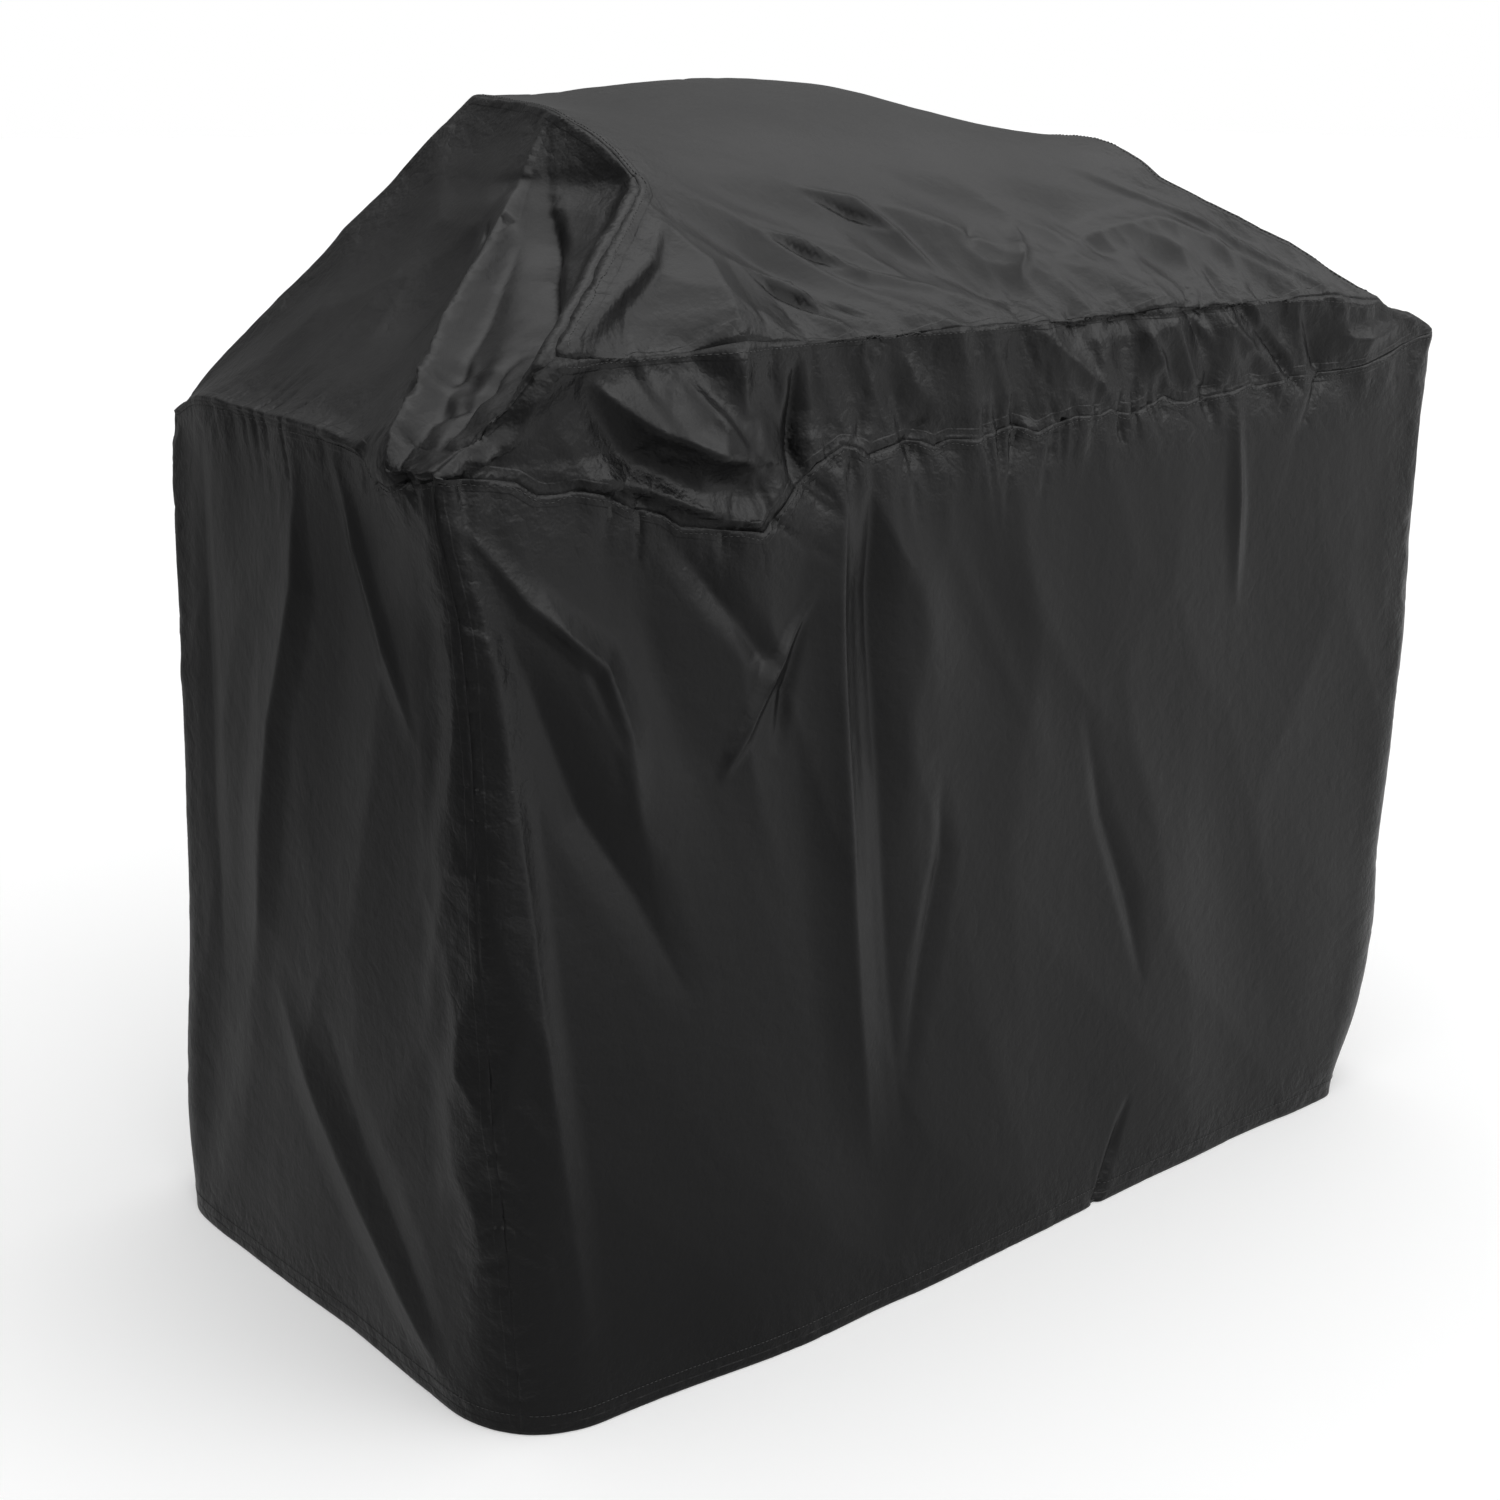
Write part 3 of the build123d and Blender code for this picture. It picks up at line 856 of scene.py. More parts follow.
# Seam, knot spacing, height, reach across the seam, knot spacing of the slant, slant
PUCKERS = (
    ("shelf_front", 0.020, 0.0156, 0.030, 0.15, 0.7),
    ("shelf_front", 0.050, 0.0144, 0.055, 0.25, 0.8),
    ("upper", 0.018, 0.0108, 0.026, 0.12, 1.2),
    ("upper", 0.045, 0.0120, 0.045, 0.20, 1.2),
    ("shelf_left", 0.022, 0.0072, 0.030, 0.15, 0.6),
    ("shelf_left", 0.060, 0.0045, 0.060, 0.25, 0.6),
    ("shelf_right", 0.022, 0.0072, 0.030, 0.15, 0.6),
    ("shelf_back", 0.020, 0.0096, 0.030, 0.15, 0.6),
    ("corner_front_left", 0.024, 0.0084, 0.022, 0.10, 1.0),
    ("corner_front_right", 0.024, 0.0034, 0.014, 0.10, 0.9),
    ("corner_back_left", 0.024, 0.0038, 0.018, 0.10, 0.9),
    ("corner_back_right", 0.024, 0.0053, 0.018, 0.10, 0.9),
    ("band_left", 0.016, 0.0024, 0.015, 0.06, 0.9),
    ("band_right", 0.016, 0.0048, 0.015, 0.06, 0.9),
    ("hood_left", 0.022, 0.0029, 0.014, 0.10, 0.8),
    ("hood_right", 0.022, 0.0029, 0.014, 0.10, 0.8),
    ("back_left", 0.022, 0.0029, 0.014, 0.10, 0.8),
    ("back_right", 0.022, 0.0034, 0.014, 0.10, 0.8),
    ("crest", 0.028, 0.0024, 0.016, 0.10, 0.8),
    ("hem_front", 0.030, 0.0038, 0.020, 0.15, 0.4),
    ("hem_back", 0.020, 0.0062, 0.026, 0.15, 0.4),
    ("hem_left", 0.024, 0.0038, 0.020, 0.15, 0.4),
    ("hem_right", 0.024, 0.0053, 0.024, 0.15, 0.4),
)
# Crumpled cloth: centre, reach, direction the creases run in, crease spacing, height
CRUMPLES = (
    ((-0.10, -0.22, 1.03), (0.36, 0.12, 0.09), (0.72, -0.45, -0.45), 0.075, 0.024),
    ((0.20, -0.26, 1.00), (0.30, 0.10, 0.07), (0.10, -0.60, -0.60), 0.045, 0.013),
    ((-0.36, -0.30, 0.91), (0.20, 0.08, 0.08), (0.45, 0.0, -0.90), 0.080, 0.016),
    ((0.10, -0.305, 0.92), (0.55, 0.05, 0.06), (0.35, 0.0, -0.94), 0.050, 0.019),
    ((-0.56, -0.20, 0.93), (0.06, 0.07, 0.04), (0.60, 0.20, -0.70), 0.026, 0.012),
    ((-0.30, -0.31, 0.70), (0.36, 0.08, 0.20), (0.25, 0.0, -0.97), 0.110, 0.026),
    ((0.20, -0.31, 0.60), (0.60, 0.08, 0.30), (0.15, 0.0, -0.99), 0.150, 0.013),
    ((0.10, -0.32, 0.15), (0.60, 0.08, 0.20), (0.50, 0.0, -0.80), 0.150, 0.010),
    ((-0.62, -0.05, 0.55), (0.06, 0.36, 0.40), (0.0, 0.22, -0.97), 0.120, 0.010),
    ((-0.62, -0.30, 0.45), (0.06, 0.07, 0.36), (0.20, 0.20, -0.90), 0.045, 0.013),
    ((-0.45, 0.05, 1.00), (0.18, 0.28, 0.14), (0.60, 0.30, -0.70), 0.120, 0.013),
    ((0.0, 0.31, 0.55), (0.70, 0.10, 0.45), (0.15, 0.0, -0.99), 0.130, 0.019),
    ((0.62, 0.0, 0.55), (0.06, 0.36, 0.45), (0.0, 0.15, -0.99), 0.120, 0.019),
    ((0.0, 0.25, 1.02), (0.60, 0.10, 0.12), (0.20, 0.50, -0.80), 0.120, 0.014),
)
CREASE_STRETCH = 0.27
CRUMPLE_EDGE = 1.5  # reaches from the centre
CRUMPLE_WARP = 0.18
CRUMPLE_LEVEL = 0.55
SWELL_HEIGHT = 0.0014
SWELL_LENGTH = 0.20
PUCKER_HELD = 0.75  # the tape holds the seam itself nearly flat
PUCKER_HELD_REACH = 0.006


def pucker_height(points, line, spacing, height, reach, slant_spacing, slant):
    """Narrow creases that run out from a seam and fade, with low swells between them."""
    away, at = line_distance(points, line[::2] if len(line) > 12 else line)
    run = at * np.linalg.norm(np.diff(line, axis=0), axis=1).sum()
    lean = slant * ripple(run, slant_spacing) * away
    creases = (1 - np.abs(ripple(run + lean, spacing))) ** 4
    strength = 0.5 + 0.5 * ripple(run, 3 * spacing)
    length = reach * (0.7 + 0.5 * ripple(run, 2 * spacing))
    swells = 0.3 * ripple(run + lean, 1.7 * spacing)
    at_seam = 1 - PUCKER_HELD * np.exp(-away / PUCKER_HELD_REACH)
    return height * at_seam * (swells - strength * creases) * np.exp(-away / length)


def crumple_height(points, centre, reach, direction, spacing, height):
    """Flat facets that meet in sharp ridges, longer along one direction, over part of the cover."""
    away = np.sqrt((((points - centre) / reach) ** 2).sum(axis=1))
    near = away < CRUMPLE_EDGE
    direction = unit(np.array(direction))
    local = points[near]
    along = local @ direction
    squeezed = (local - (1 - CREASE_STRETCH) * along[:, None] * direction) / spacing
    bends = [ripple(local[:, n] + local[:, n - 1], 1.3 * spacing) for n in range(3)]
    squeezed += CRUMPLE_WARP * np.stack(bends, 1)
    bowls = np.array([noise.voronoi(place)[0][0] for place in squeezed.tolist()])
    total = np.zeros(len(points))
    total[near] = height * (bowls - CRUMPLE_LEVEL) * np.clip(CRUMPLE_EDGE - away[near], 0, 1) ** 1.2
    return total


def wrinkles(cut, cloth):
    """Height of all the small wrinkles over the cut shape."""
    total = np.zeros(len(cut))
    seam_points = np.array(cloth.points)
    for settings in CRUMPLES:
        total += crumple_height(cut, *settings)
    for name, *settings in PUCKERS:
        total += pucker_height(cut, seam_points[cloth.seams[name]], *settings)
    hanging = cut * np.where(cut[:, 2] < SHELF_Z, HANGING_STRETCH, 1.0)[:, None] ** np.array([0, 0, 1])
    return total + SWELL_HEIGHT * swell(hanging, SWELL_LENGTH)


cloth = build_cloth(CLOTH_STEP)
cut = np.array(cloth.points)
faces = np.array(cloth.triangles)
owners = np.array(cloth.panel_of)
worn = drape(cut, faces, DRAPE_FRAMES)
worn = settled(nudged(cut), worn, faces)
for _ in range(2):
    cut, worn, faces, owners = refine(cut, worn, faces, owners, cloth)
cut_normals = vertex_normals(cut, faces)
height = wrinkles(cut, cloth)
for rows in FOLDS:
    height += fold_height(cut, cut_normals, rows)
at_hem = cut[:, 2] < 1e-6
outward = vertex_normals(worn, faces)
outward[at_hem, 2] = 0
worn = worn + height[:, None] * outward
worn[:, 2] = np.maximum(worn[:, 2], 0.0)
worn[at_hem, 2] = 0
outward = vertex_normals(worn, faces)


# ---------------------------------------------------------------- materials
class Nodes:
    """Short calls for building the node tree of a material or a world."""

    def __init__(self, owner, shader="Principled BSDF"):
        owner.use_nodes = True
        self.owner = owner
        self.tree = owner.node_tree
        self.shader = self.tree.nodes[shader]

    def add(self, kind, inputs=None, **settings):
        node = self.tree.nodes.new(f"ShaderNode{kind}")
        for key, value in settings.items():
            setattr(node, key, value)
        for key, value in (inputs or {}).items():
            if isinstance(value, bpy.types.NodeSocket):
                self.tree.links.new(value, node.inputs[key])
            else:
                node.inputs[key].default_value = value
        return node

    def toward(self, vector, direction):
        return self.add("VectorMath", {0: vector, 1: direction}, operation="DOT_PRODUCT").outputs["Value"]

    def math(self, operation, *values):
        return self.add("Math", dict(enumerate(values)), operation=operation).outputs[0]

    def noise(self, vector, scale, detail=3.0, roughness=0.55):
        inputs = {"Vector": vector, "Scale": scale, "Detail": detail, "Roughness": roughness}
        return self.add("TexNoise", inputs).outputs["Fac"]

    def between(self, value, low, high, start=0.0, end=1.0):
        inputs = {"Value": value, "From Min": start, "From Max": end, "To Min": low, "To Max": high}
        return self.add("MapRange", inputs).outputs["Result"]

    def colour(self, value, low, high):
        node = self.add("Mix", {0: value}, data_type="RGBA")
        node.inputs[6].default_value = (*low, 1)
        node.inputs[7].default_value = (*high, 1)
        return node.outputs[2]

    def bump(self, height, distance, below=None):
        inputs = {"Height": height, "Distance": distance}
        if below is not None:
            inputs["Normal"] = below
        return self.add("Bump", inputs).outputs["Normal"]

    def finish(self, **inputs):
        for key, value in inputs.items():
            socket = self.shader.inputs[key.replace("_", " ")]
            if isinstance(value, bpy.types.NodeSocket):
                self.tree.links.new(value, socket)
            else:
                socket.default_value = value
        return self.owner

    def weave(self, pitch):
        """Plain weave over the flat pattern, which the UV map holds in metres."""
        split = self.add("SeparateXYZ", {0: self.add("UVMap", uv_map="pattern").outputs["UV"]})
        turns = 2 * math.pi / pitch
        across = self.math("SINE", self.math("MULTIPLY", split.outputs["X"], turns))
        along = self.math("SINE", self.math("MULTIPLY", split.outputs["Y"], turns))
        return self.math("MULTIPLY", across, along)


WEAVE_PITCH = 0.0009
SEAM_LAP = 0.009


def cloth_material():
    n = Nodes(bpy.data.materials.new("coated_polyester"))
    place = n.add("TexCoord").outputs["Object"]
    seam = n.add("Attribute", attribute_name="seam").outputs["Fac"]
    soft = n.noise(place, 4.0, 2.0)
    crinkle = n.noise(place, 55.0, 5.0, 0.6)
    creased = n.noise(place, 24.0, 4.0, 0.6)
    crease_lines = n.math("ABSOLUTE", n.math("SUBTRACT", creased, 0.5))
    near_seam = n.between(seam, 1.0, 0.25, 0.0, 0.07)
    lap_end = n.between(seam, 1.0, 0.55, SEAM_LAP, SEAM_LAP + 0.0012)
    normal = n.bump(n.weave(WEAVE_PITCH), 0.00002)
    normal = n.bump(crinkle, 0.00022, normal)
    normal = n.bump(n.math("MULTIPLY", crease_lines, near_seam), 0.006, normal)
    normal = n.bump(lap_end, 0.0008, normal)
    tone = n.colour(soft, (0.0034, 0.0034, 0.0036), (0.0048, 0.0048, 0.0050))
    roughness = n.between(n.noise(place, 9.0, 3.0), 0.29, 0.36, 0.3, 0.7)
    return n.finish(Base_Color=tone, Roughness=roughness, Normal=normal, Specular_IOR_Level=0.25)


def tape_material():
    n = Nodes(bpy.data.materials.new("binding_tape"))
    place = n.add("TexCoord").outputs["Object"]
    wave = {"Vector": place, "Scale": 260.0, "Distortion": 0.5}
    ribs = n.add("TexWave", wave, bands_direction="Z").outputs["Fac"]
    tone = n.colour(n.noise(place, 30.0), (0.008, 0.008, 0.008), (0.014, 0.014, 0.014))
    return n.finish(Base_Color=tone, Roughness=0.75, Normal=n.bump(ribs, 0.0002))


def thread_material():
    n = Nodes(bpy.data.materials.new("thread"))
    place = n.add("TexCoord").outputs["Object"]
    twist = n.noise(place, 900.0, 1.0)
    tone = n.colour(twist, (0.010, 0.010, 0.010), (0.022, 0.022, 0.022))
    return n.finish(Base_Color=tone, Roughness=0.5, Normal=n.bump(twist, 0.0001))


def elastic_material():
    n = Nodes(bpy.data.materials.new("elastic"))
    place = n.add("TexCoord").outputs["Object"]
    knit = n.add("TexVoronoi", {"Vector": place, "Scale": 700.0}).outputs["Distance"]
    tone = n.colour(n.noise(place, 60.0), (0.016, 0.016, 0.016), (0.030, 0.030, 0.030))
    return n.finish(Base_Color=tone, Roughness=0.7, Normal=n.bump(knit, 0.0003))


# ---------------------------------------------------------------- cloth panels
CLOTH_THICKNESS = 0.0006

flats = {"front_band": band_to_flat, "hood_panel": hood_to_flat, "back_upper_panel": back_to_flat}
flats |= {f"{side}_shoulder_panel": shoulder_to_flat for side in ("left", "right")}
flats |= {f"{side}_skirt": lambda p, s=side: wall_to_flat(s, p) for side in ("front", "back")}
flats |= {f"{side}_end_skirt": lambda p, s=side: wall_to_flat(s, p) for side in ("left", "right")}


def panel_piece(name, mine):
    """One panel as a thin closed sheet: outer face, inner face and the cut edge between them."""
    used, local = np.unique(mine, return_inverse=True)
    local = local.reshape(-1, 3)
    count = len(used)
    edges = local[:, [0, 1, 1, 2, 2, 0]].reshape(-1, 2)
    keys = np.sort(edges, axis=1) @ np.array([count, 1])
    _, first, times = np.unique(keys, return_index=True, return_counts=True)
    a, b = edges[first[times == 1]].T
    rim = np.concatenate([np.stack([b, a, a + count], 1), np.stack([b, a + count, b + count], 1)])
    both = np.concatenate([worn[used], worn[used] - outward[used] * CLOTH_THICKNESS])
    piece = mesh_object(f"{name}_cloth", both, np.concatenate([local, local[:, ::-1] + count, rim]))
    mesh = piece.data
    smooth = np.arange(len(mesh.polygons)) < 2 * len(local)
    mesh.polygons.foreach_set("use_smooth", smooth)
    pattern = np.tile(flats[name](cut[used]), (2, 1))
    corners = np.zeros(len(mesh.loops), int)
    mesh.loops.foreach_get("vertex_index", corners)
    mesh.uv_layers.new(name="pattern").data.foreach_set("uv", pattern[corners].ravel())
    mesh.attributes.new("seam", "FLOAT", "POINT").data.foreach_set("value", np.tile(seam_near[used], 2))
    return piece


def belongs(piece, slot, *nodes):
    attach(piece, "root")
    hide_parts(*nodes)
    piece.data.materials.append(LOOKS[slot])
    return piece


LOOKS = {
    "cover_cloth": cloth_material(),
    "binding_tape": tape_material(),
    "thread": thread_material(),
    "elastic": elastic_material(),
}
seam_near = nearest_line(cut, [np.array(cloth.points)[ids] for ids in cloth.seams.values()])
for number, name in enumerate(cloth.panels):
    belongs(panel_piece(name, faces[owners == number]), "cover_cloth", name)


# ---------------------------------------------------------------- pieces that follow the worn cloth
cut_tree = BVHTree.FromPolygons(cut.tolist(), faces.tolist())


def follow(targets, depth=0.0):
    """Carries points of the cut shape to the worn cloth, at a depth under its outer face."""
    targets = np.asarray(targets, float)
    near, index = [], []
    for point in targets.reshape(-1, 3).tolist():
        place, _, face, _ = cut_tree.find_nearest(point)
        near.append(place)
        index.append(face)
    near = np.array(near)
    a, b, c = (faces[index][:, n] for n in range(3))
    u, v, w = cut[b] - cut[a], cut[c] - cut[a], near - cut[a]
    pairs = ((u, u), (u, v), (v, v), (w, u), (w, v))
    uu, uv, vv, wu, wv = (np.einsum("ij,ij->i", *pair) for pair in pairs)
    scale = np.maximum(uu * vv - uv * uv, 1e-20)
    share_b = ((vv * wu - uv * wv) / scale)[:, None]
    share_c = ((uu * wv - uv * wu) / scale)[:, None]
    share_a = 1 - share_b - share_c
    place = worn[a] * share_a + worn[b] * share_b + worn[c] * share_c
    up = unit(outward[a] * share_a + outward[b] * share_b + outward[c] * share_c)
    return (place - up * depth).reshape(targets.shape), up.reshape(targets.shape)


def thin_sheet(name, outer, inner):
    """Closed thin sheet between two grids of points of the same shape."""
    rows, columns = outer.shape[:2]
    ids = np.arange(rows * columns).reshape(rows, columns)
    square = np.stack([ids[:-1, :-1], ids[:-1, 1:], ids[1:, 1:], ids[1:, :-1]], -1).reshape(-1, 4)
    edge = np.concatenate([ids[0, :-1], ids[:-1, -1], ids[-1, :0:-1], ids[:0:-1, 0]])
    after = np.roll(edge, -1)
    count = rows * columns
    rim = np.stack([after, edge, edge + count, after + count], 1)
    points = np.concatenate([outer.reshape(-1, 3), inner.reshape(-1, 3)])
    return mesh_object(name, points, np.concatenate([square, square[:, ::-1] + count, rim]))


ROW_STEP = 0.008
CORNER_CLEARANCE = 0.004
ROW_MARGIN = 0.006


def wall_row(side, z, margin=CORNER_CLEARANCE, sagging=False):
    """Points across a wall of the cut shape at height z."""
    reach = wall_width(side) - margin
    across = spread(-reach, reach, ROW_STEP)
    flat = np.stack([across, np.full(len(across), float(z))], 1)
    if sagging:
        line = wall_from_flat(side, flat)
        flat[:, 1] -= seam_sag(side, line[:, 0], line[:, 1])
    return wall_from_flat(side, flat)


def hood_edge_x(run):
    return SHOULDER_X + (HOOD_X - SHOULDER_X) * np.clip(run / SLOPE_LENGTH, 0, 1)


def hood_end_row(toward, inboard, margin=ROW_MARGIN):
    run = spread(margin, HOOD_RUN - margin, ROW_STEP)
    return hood_from_flat(np.stack([toward * (hood_edge_x(run) - inboard), run], 1))


def band_row(z):
    across = spread(ROW_MARGIN - SHOULDER_X, SHOULDER_X - ROW_MARGIN, ROW_STEP)
    return band_from_flat(np.stack([across, np.full(len(across), z)], 1))


def crest_row(inboard):
    across = spread(-HOOD_X + ROW_MARGIN, HOOD_X - ROW_MARGIN, ROW_STEP)
    return hood_from_flat(np.stack([across, np.full(len(across), HOOD_RUN - inboard)], 1))


def corner_rows(corner, low, high):
    """Upright rows either side of a corner seam."""
    (before,) = [side for side, ends in WALL_CORNERS.items() if ends[1] == corner]
    (after,) = [side for side, ends in WALL_CORNERS.items() if ends[0] == corner]
    heights = spread(low, high, ROW_STEP)
    rows = []
    for side, sign, insets in ((before, 1, (0.010, 0.005, 0)), (after, -1, (0.005, 0.010))):
        for inset in insets:
            flat = np.stack([np.full(len(heights), sign * (wall_width(side) - inset)), heights], 1)
            rows.append(wall_from_flat(side, flat))
    return np.array(rows)


TAPE_DEPTH = 0.0010
TAPE_THICKNESS = 0.0008
TAPE_ROWS = (0.004, 0.009, 0.014, 0.019, 0.024)
TAPE_OVERLAP = 0.003  # of a level tape over its seam
CORNER_TAPE_SPAN = (0.027, 0.862)
END_TAPE_MARGIN = 0.026


def tape(name, rows):
    rows = np.array(rows)
    outer, _ = follow(rows, TAPE_DEPTH)
    inner, _ = follow(rows, TAPE_DEPTH + TAPE_THICKNESS)
    return belongs(thin_sheet(f"{name}_sewn", outer, inner), "binding_tape", name)


drops = [TAPE_OVERLAP - distance for distance in TAPE_ROWS]
seam_tapes = {
    f"shelf_tape_{side}": [wall_row(side, SHELF_Z + drop, sagging=True) for drop in drops] for side in WALLS
}
seam_tapes |= {
    f"corner_tape_{corner}": corner_rows(corner, *CORNER_TAPE_SPAN) for corner, _ in WALL_CORNERS.values()
}
seam_tapes["front_upper_tape"] = [band_row(UPPER_SEAM_Z + drop) for drop in drops]
seam_tapes["hood_back_tape"] = [crest_row(distance) for distance in TAPE_ROWS]
for side, toward in (("left", -1), ("right", 1)):
    rows = [hood_end_row(toward, distance, END_TAPE_MARGIN) for distance in TAPE_ROWS]
    seam_tapes[f"hood_end_tape_{side}"] = rows
for name, rows in seam_tapes.items():
    tape(name, rows)

# The turned-up hem: depth and height of its outer line, from the wall round under the elastic and back
CASING_PATH = ((1.0, 25), (3.2, 24), (6.4, 20.5), (8.0, 15), (8.3, 9), (7.2, 4), (4.6, 1.2), (1.2, 0.8))
CASING_CENTRE = (4.2, 12)
CASING_WALL_SHARE = 0.86
CASING_MARGIN = 0.0004


def hem_casing(side):
    grids = []
    for share in (1.0, CASING_WALL_SHARE):
        rows = []
        for depth, z in CASING_PATH:
            depth = CASING_CENTRE[0] + (depth - CASING_CENTRE[0]) * share
            z = CASING_CENTRE[1] + (z - CASING_CENTRE[1]) * share
            placed, up = follow(wall_row(side, z * 0.001, margin=CASING_MARGIN))
            up[:, 2] = 0
            rows.append(placed - unit(up) * depth * 0.001)
        grids.append(np.array(rows))
    casing = thin_sheet(f"hem_casing_{side}_sewn", *grids)
    return belongs(casing, "cover_cloth", f"hem_casing_{side}")


for side in WALLS:
    hem_casing(side)

ELASTIC_RADIUS = 0.0021
ELASTIC_SIDES = 10
ELASTIC_WAVE = 0.0008
ELASTIC_WAVE_LENGTH = 0.03


def hem_elastic():
    """The cord inside the turned-up hem, slightly wavy where the cloth is gathered on it."""
    rows = [wall_row(side, CASING_CENTRE[1] * 0.001)[:-1] for side in ("back", "right", "front", "left")]
    placed, up = follow(np.concatenate(rows))
    up[:, 2] = 0
    up = unit(up)
    placed = placed - up * (CASING_CENTRE[0] * 0.001)
    wave = ripple(np.arange(len(placed)) * ROW_STEP, ELASTIC_WAVE_LENGTH)
    placed[:, 2] = CASING_CENTRE[1] * 0.001 + ELASTIC_WAVE * wave
    around = np.linspace(0, 2 * math.pi, ELASTIC_SIDES, endpoint=False)
    rings = placed[:, None] + ELASTIC_RADIUS * (
        np.cos(around)[None, :, None] * up[:, None] + np.sin(around)[None, :, None] * np.array([0, 0, 1.0])
    )
    ids = np.arange(len(placed) * ELASTIC_SIDES).reshape(len(placed), ELASTIC_SIDES)
    after, beside = np.roll(ids, -1, 0), np.roll(ids, -1, 1)
    quads = np.stack([ids, beside, np.roll(after, -1, 1), after], -1).reshape(-1, 4)
    return belongs(mesh_object("hem_elastic_cord", rings.reshape(-1, 3), quads), "elastic", "hem_elastic")


hem_elastic()

STITCH_PITCH = 0.0050
STITCH_LENGTH = 0.0038
STITCH_RADIUS = 0.00042
STITCH_SIDES = 6
STITCH_PROFILE = ((0.0, 0.25, -0.3), (0.15, 0.85, 0.5), (0.5, 1.0, 0.9), (0.85, 0.85, 0.5), (1.0, 0.25, -0.3))


def stitch_row(node, line):
    """Separate stitches lying on the cloth along a line of the cut shape."""
    run = np.concatenate([[0], np.cumsum(np.linalg.norm(np.diff(line, axis=0), axis=1))])
    starts = np.arange(0, run[-1] - STITCH_LENGTH, STITCH_PITCH)
    rings = []
    for share, width, lift in STITCH_PROFILE:
        at = starts + share * STITCH_LENGTH
        placed, up = follow(np.stack([np.interp(at, run, line[:, n]) for n in range(3)], 1))
        rings.append((placed + up * STITCH_RADIUS * lift, up, width))
    along = unit(rings[-1][0] - rings[0][0])
    around = np.linspace(0, 2 * math.pi, STITCH_SIDES, endpoint=False)
    points = []
    for placed, up, width in rings:
        side = unit(np.cross(along, up))
        radius = STITCH_RADIUS * width
        points.append(
            placed[:, None]
            + radius * (np.cos(around)[:, None] * side[:, None] + np.sin(around)[:, None] * up[:, None])
        )
    points = np.stack(points, 1)
    count, levels = points.shape[:2]
    ids = np.arange(count * levels * STITCH_SIDES).reshape(count, levels, STITCH_SIDES)
    beside = np.roll(ids, -1, 2)
    walls = np.stack([ids[:, :-1], beside[:, :-1], beside[:, 1:], ids[:, 1:]], -1).reshape(-1, 4).tolist()
    caps = ids[:, 0, ::-1].tolist() + ids[:, -1].tolist()
    return belongs(mesh_object(f"{node}_thread", points.reshape(-1, 3), walls + caps), "thread", node)


THREAD_MARGIN = 0.005
for side in WALLS:
    stitch_row(f"shelf_stitching_{side}", wall_row(side, SHELF_Z - THREAD_MARGIN, sagging=True))
    stitch_row(f"hem_stitching_{side}", wall_row(side, 0.020))
stitch_row("front_upper_stitching", band_row(UPPER_SEAM_Z - THREAD_MARGIN))
for side, toward in (("left", -1), ("right", 1)):
    stitch_row(f"hood_end_stitching_{side}", hood_end_row(toward, THREAD_MARGIN))

# Cut width, cut length, area where the cut isn't a rectangle, the panel it hangs from, pieces sewn on it
SHEETS = {}
hung_from = {
    "front_skirt": "front_band",
    "back_skirt": "back_upper_panel",
    "left_end_skirt": "left_shoulder_panel",
    "right_end_skirt": "right_shoulder_panel",
}
for name, above in hung_from.items():
    side = name.split("_")[0]
    sewn = [f"hem_casing_{side}_sewn", f"shelf_stitching_{side}_thread"]
    SHEETS[name] = (0.64 if "end" in name else 1.24, 0.886, None, [above], sewn)
end_threads = [f"hood_end_stitching_{side}_thread" for side in ("left", "right")]
SHEETS |= {
    "front_band": (1.22, 0.160, 0.115, ["hood_panel"], ["front_upper_stitching_thread"]),
    "hood_panel": (1.03, 0.515, 0.376, [], end_threads),
    "back_upper_panel": (1.22, 0.325, 0.304, ["hood_panel"], []),
    "left_shoulder_panel": (0.61, 0.460, 0.184, ["hood_panel"], []),
    "right_shoulder_panel": (0.61, 0.460, 0.184, ["hood_panel"], []),
}


# ---------------------------------------------------------------- floor, light and camera
CAMERA_PLACE = (-1.372, -1.689, 1.179)
CAMERA_TURN = math.radians(37.1)
CAMERA_PITCH = math.radians(18.2)
CAMERA_ROLL = math.radians(-0.3)
LENS_MM = 48.9

FLOOR_GLOW = 0.15
FLOOR_HALF = 40
# How bright the gloss sees the floor, by distance towards the right, in metres
RIGHTWARD = (0.95, -0.3, 0)
FLOOR_IN_GLOSS = (0.40, 0.88)
FLOOR_GAIN_RUN = (-0.2, 1.3)
FLOOR_LOSS = 0.13
FLOOR_LOSS_RUN = (-0.8, -1.7)


def floor_material():
    """White floor that the cloth's gloss sees as a dimmer one, brighter to the right."""
    n = Nodes(bpy.data.materials.new("floor_white"))
    n.finish(Base_Color=(0.9, 0.9, 0.9, 1), Roughness=1.0, Specular_IOR_Level=0.0)
    n.finish(Emission_Color=(1, 1, 1, 1), Emission_Strength=FLOOR_GLOW)
    place = n.add("TexCoord").outputs["Object"]
    rightward = n.toward(place, RIGHTWARD)
    gained = n.between(rightward, *FLOOR_IN_GLOSS, *FLOOR_GAIN_RUN)
    lost = n.between(rightward, 0.0, FLOOR_LOSS, *FLOOR_LOSS_RUN)
    gloss = n.math("SUBTRACT", gained, lost)
    dim = n.add("Emission", {"Color": n.colour(gloss, (0, 0, 0), (1, 1, 1))})
    inputs = {0: n.add("LightPath").outputs["Is Glossy Ray"], 1: n.shader.outputs[0], 2: dim.outputs[0]}
    mixed = n.add("MixShader", inputs)
    n.tree.links.new(mixed.outputs[0], n.tree.nodes["Material Output"].inputs["Surface"])
    return n.owner


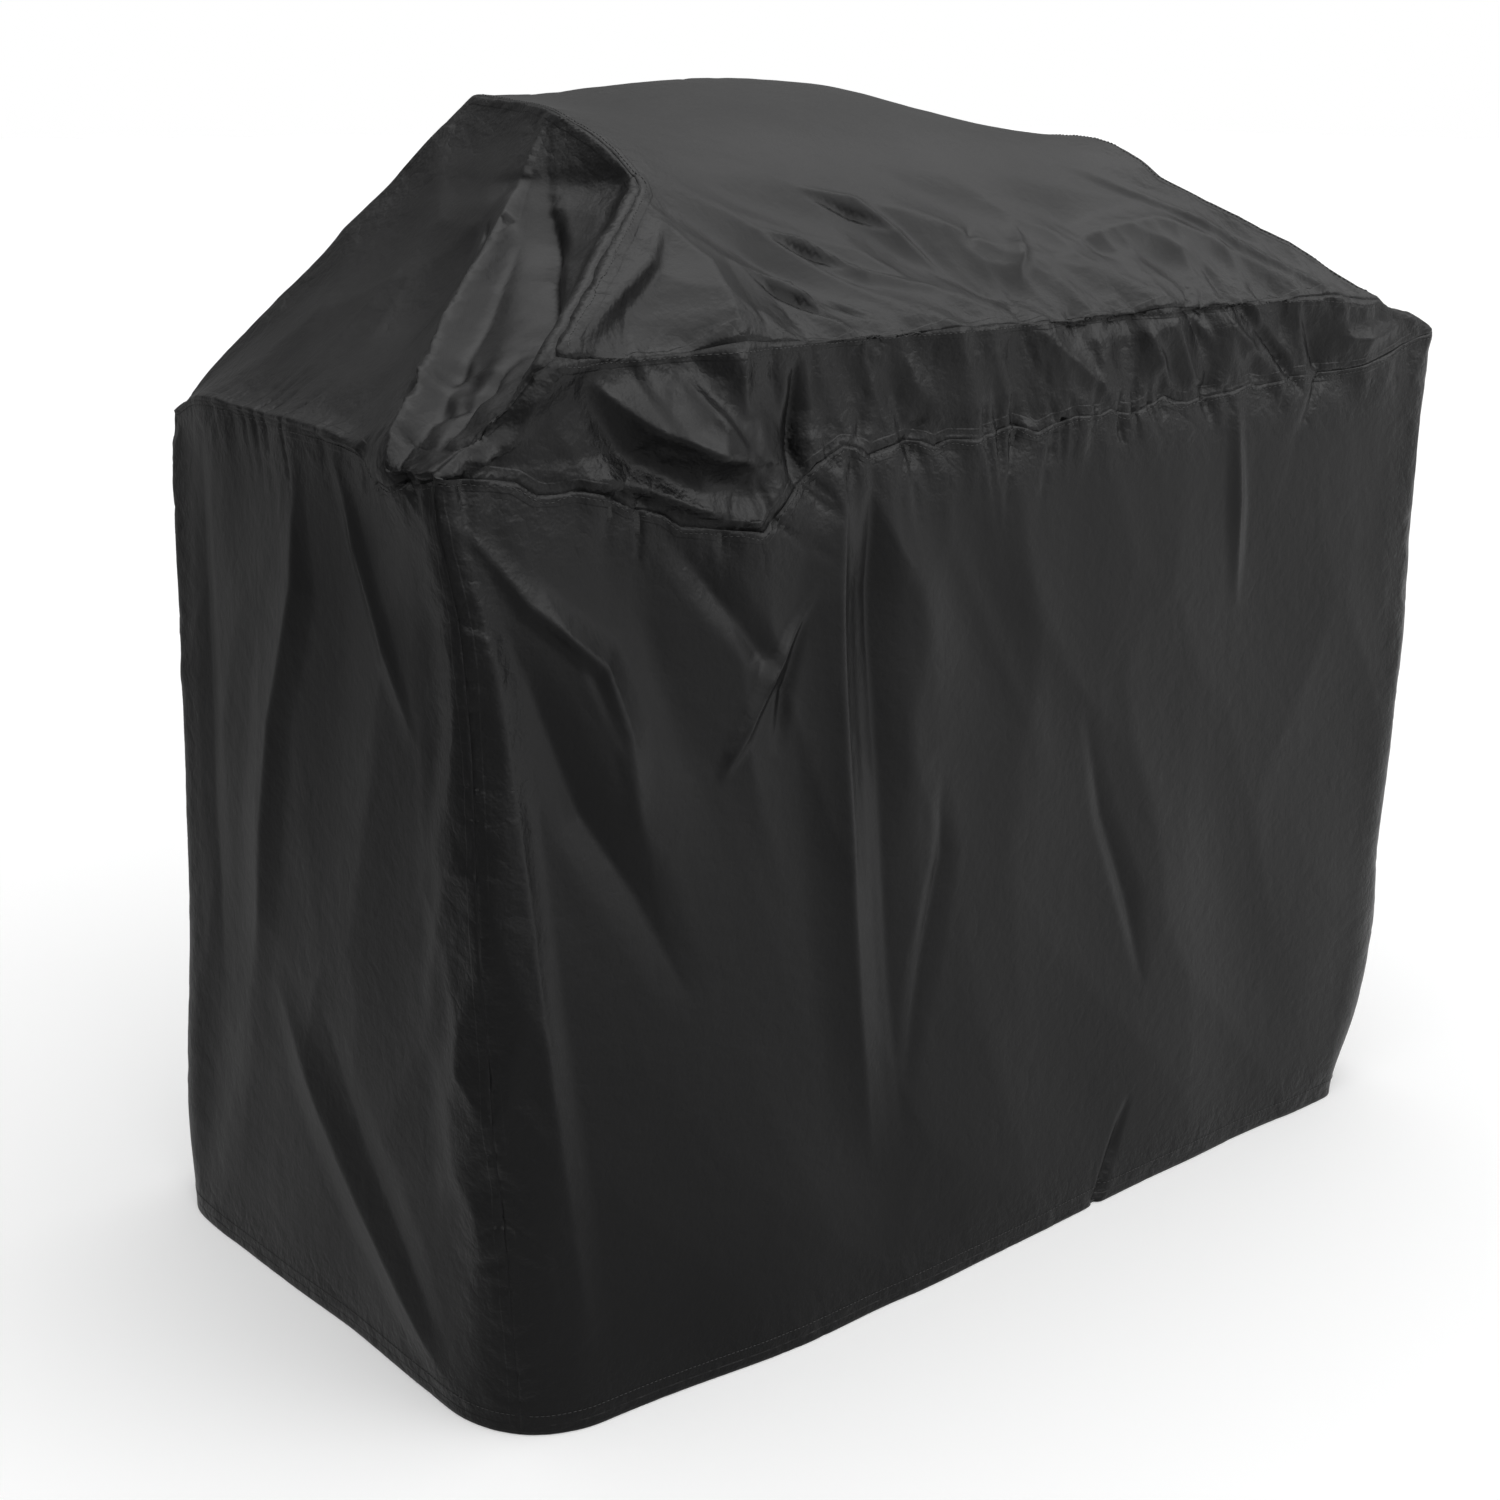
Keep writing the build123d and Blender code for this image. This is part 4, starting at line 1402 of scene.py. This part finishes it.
floor_corners = [(x, y, -0.001) for x, y in ((-1, -1), (1, -1), (1, 1), (-1, 1))]
floor = mesh_object("floor", np.array(floor_corners) * (FLOOR_HALF, FLOOR_HALF, 1), [(0, 1, 2, 3)])
floor.data.materials.append(floor_material())


def soft_sun(strength, width, tilt):
    light = bpy.data.lights.new("softbox", "SUN")
    light.energy = strength
    light.angle = math.radians(width)
    lamp = bpy.data.objects.new("softbox", light)
    lamp.rotation_euler = [math.radians(v) for v in tilt]
    bpy.context.scene.collection.objects.link(lamp)


soft_sun(0.5, 70, (-12, -4, 0))

# The studio: a broad glow overhead, a smaller lamp at the front right, and plain white behind the object
GLOW_DIRECTION = (0.15, -0.40, 0.90)
GLOW = ((0.0, 0.22), (0.50, 0.22), (0.62, 0.42), (0.70, 0.50), (0.79, 1.25), (0.87, 1.8))
GLOW_ON_FLOOR = 0.62
LAMP_DIRECTION = (0.59, -0.68, 0.43)
LAMP_EDGE, LAMP_CORE = 0.90, 0.98  # cosines of the angle from its middle
LAMP_STRENGTH = 1.6
world = bpy.data.worlds.new("studio")
bpy.context.scene.world = world
n = Nodes(world, "Background")
sky = n.add("TexCoord").outputs["Generated"]
ramp = n.add("ValToRGB", {"Fac": n.between(n.toward(sky, GLOW_DIRECTION), 0, 1, -1, 1)})
for number, (place, value) in enumerate(GLOW):
    stop = ramp.color_ramp.elements[number] if number < 2 else ramp.color_ramp.elements.new(place)
    stop.position = place
    stop.color = (value, value, value, 1)
lamp = n.between(n.toward(sky, LAMP_DIRECTION), 0, LAMP_STRENGTH, LAMP_EDGE, LAMP_CORE)
both = n.add("VectorMath", {0: ramp.outputs["Color"], 1: lamp}).outputs["Vector"]
ray = n.add("LightPath").outputs
behind = n.add("Mix", {0: ray["Is Camera Ray"], 6: both, 7: (1, 1, 1, 1)}, data_type="RGBA")
n.finish(Color=behind.outputs[2], Strength=n.between(ray["Is Diffuse Ray"], 1, GLOW_ON_FLOOR))
bpy.context.scene.view_settings.view_transform = "Standard"

camera_data = bpy.data.cameras.new("camera")
camera_data.lens = LENS_MM
camera_data.sensor_width = 36
camera = bpy.data.objects.new("camera", camera_data)
level = math.cos(CAMERA_PITCH)
forward = Vector((math.sin(CAMERA_TURN) * level, math.cos(CAMERA_TURN) * level, -math.sin(CAMERA_PITCH)))
turn = forward.to_track_quat("-Z", "Y").to_matrix().to_4x4()
camera.matrix_world = Matrix.Translation(CAMERA_PLACE) @ turn @ Matrix.Rotation(-CAMERA_ROLL, 4, "Z")
bpy.context.scene.collection.objects.link(camera)
bpy.context.scene.camera = camera
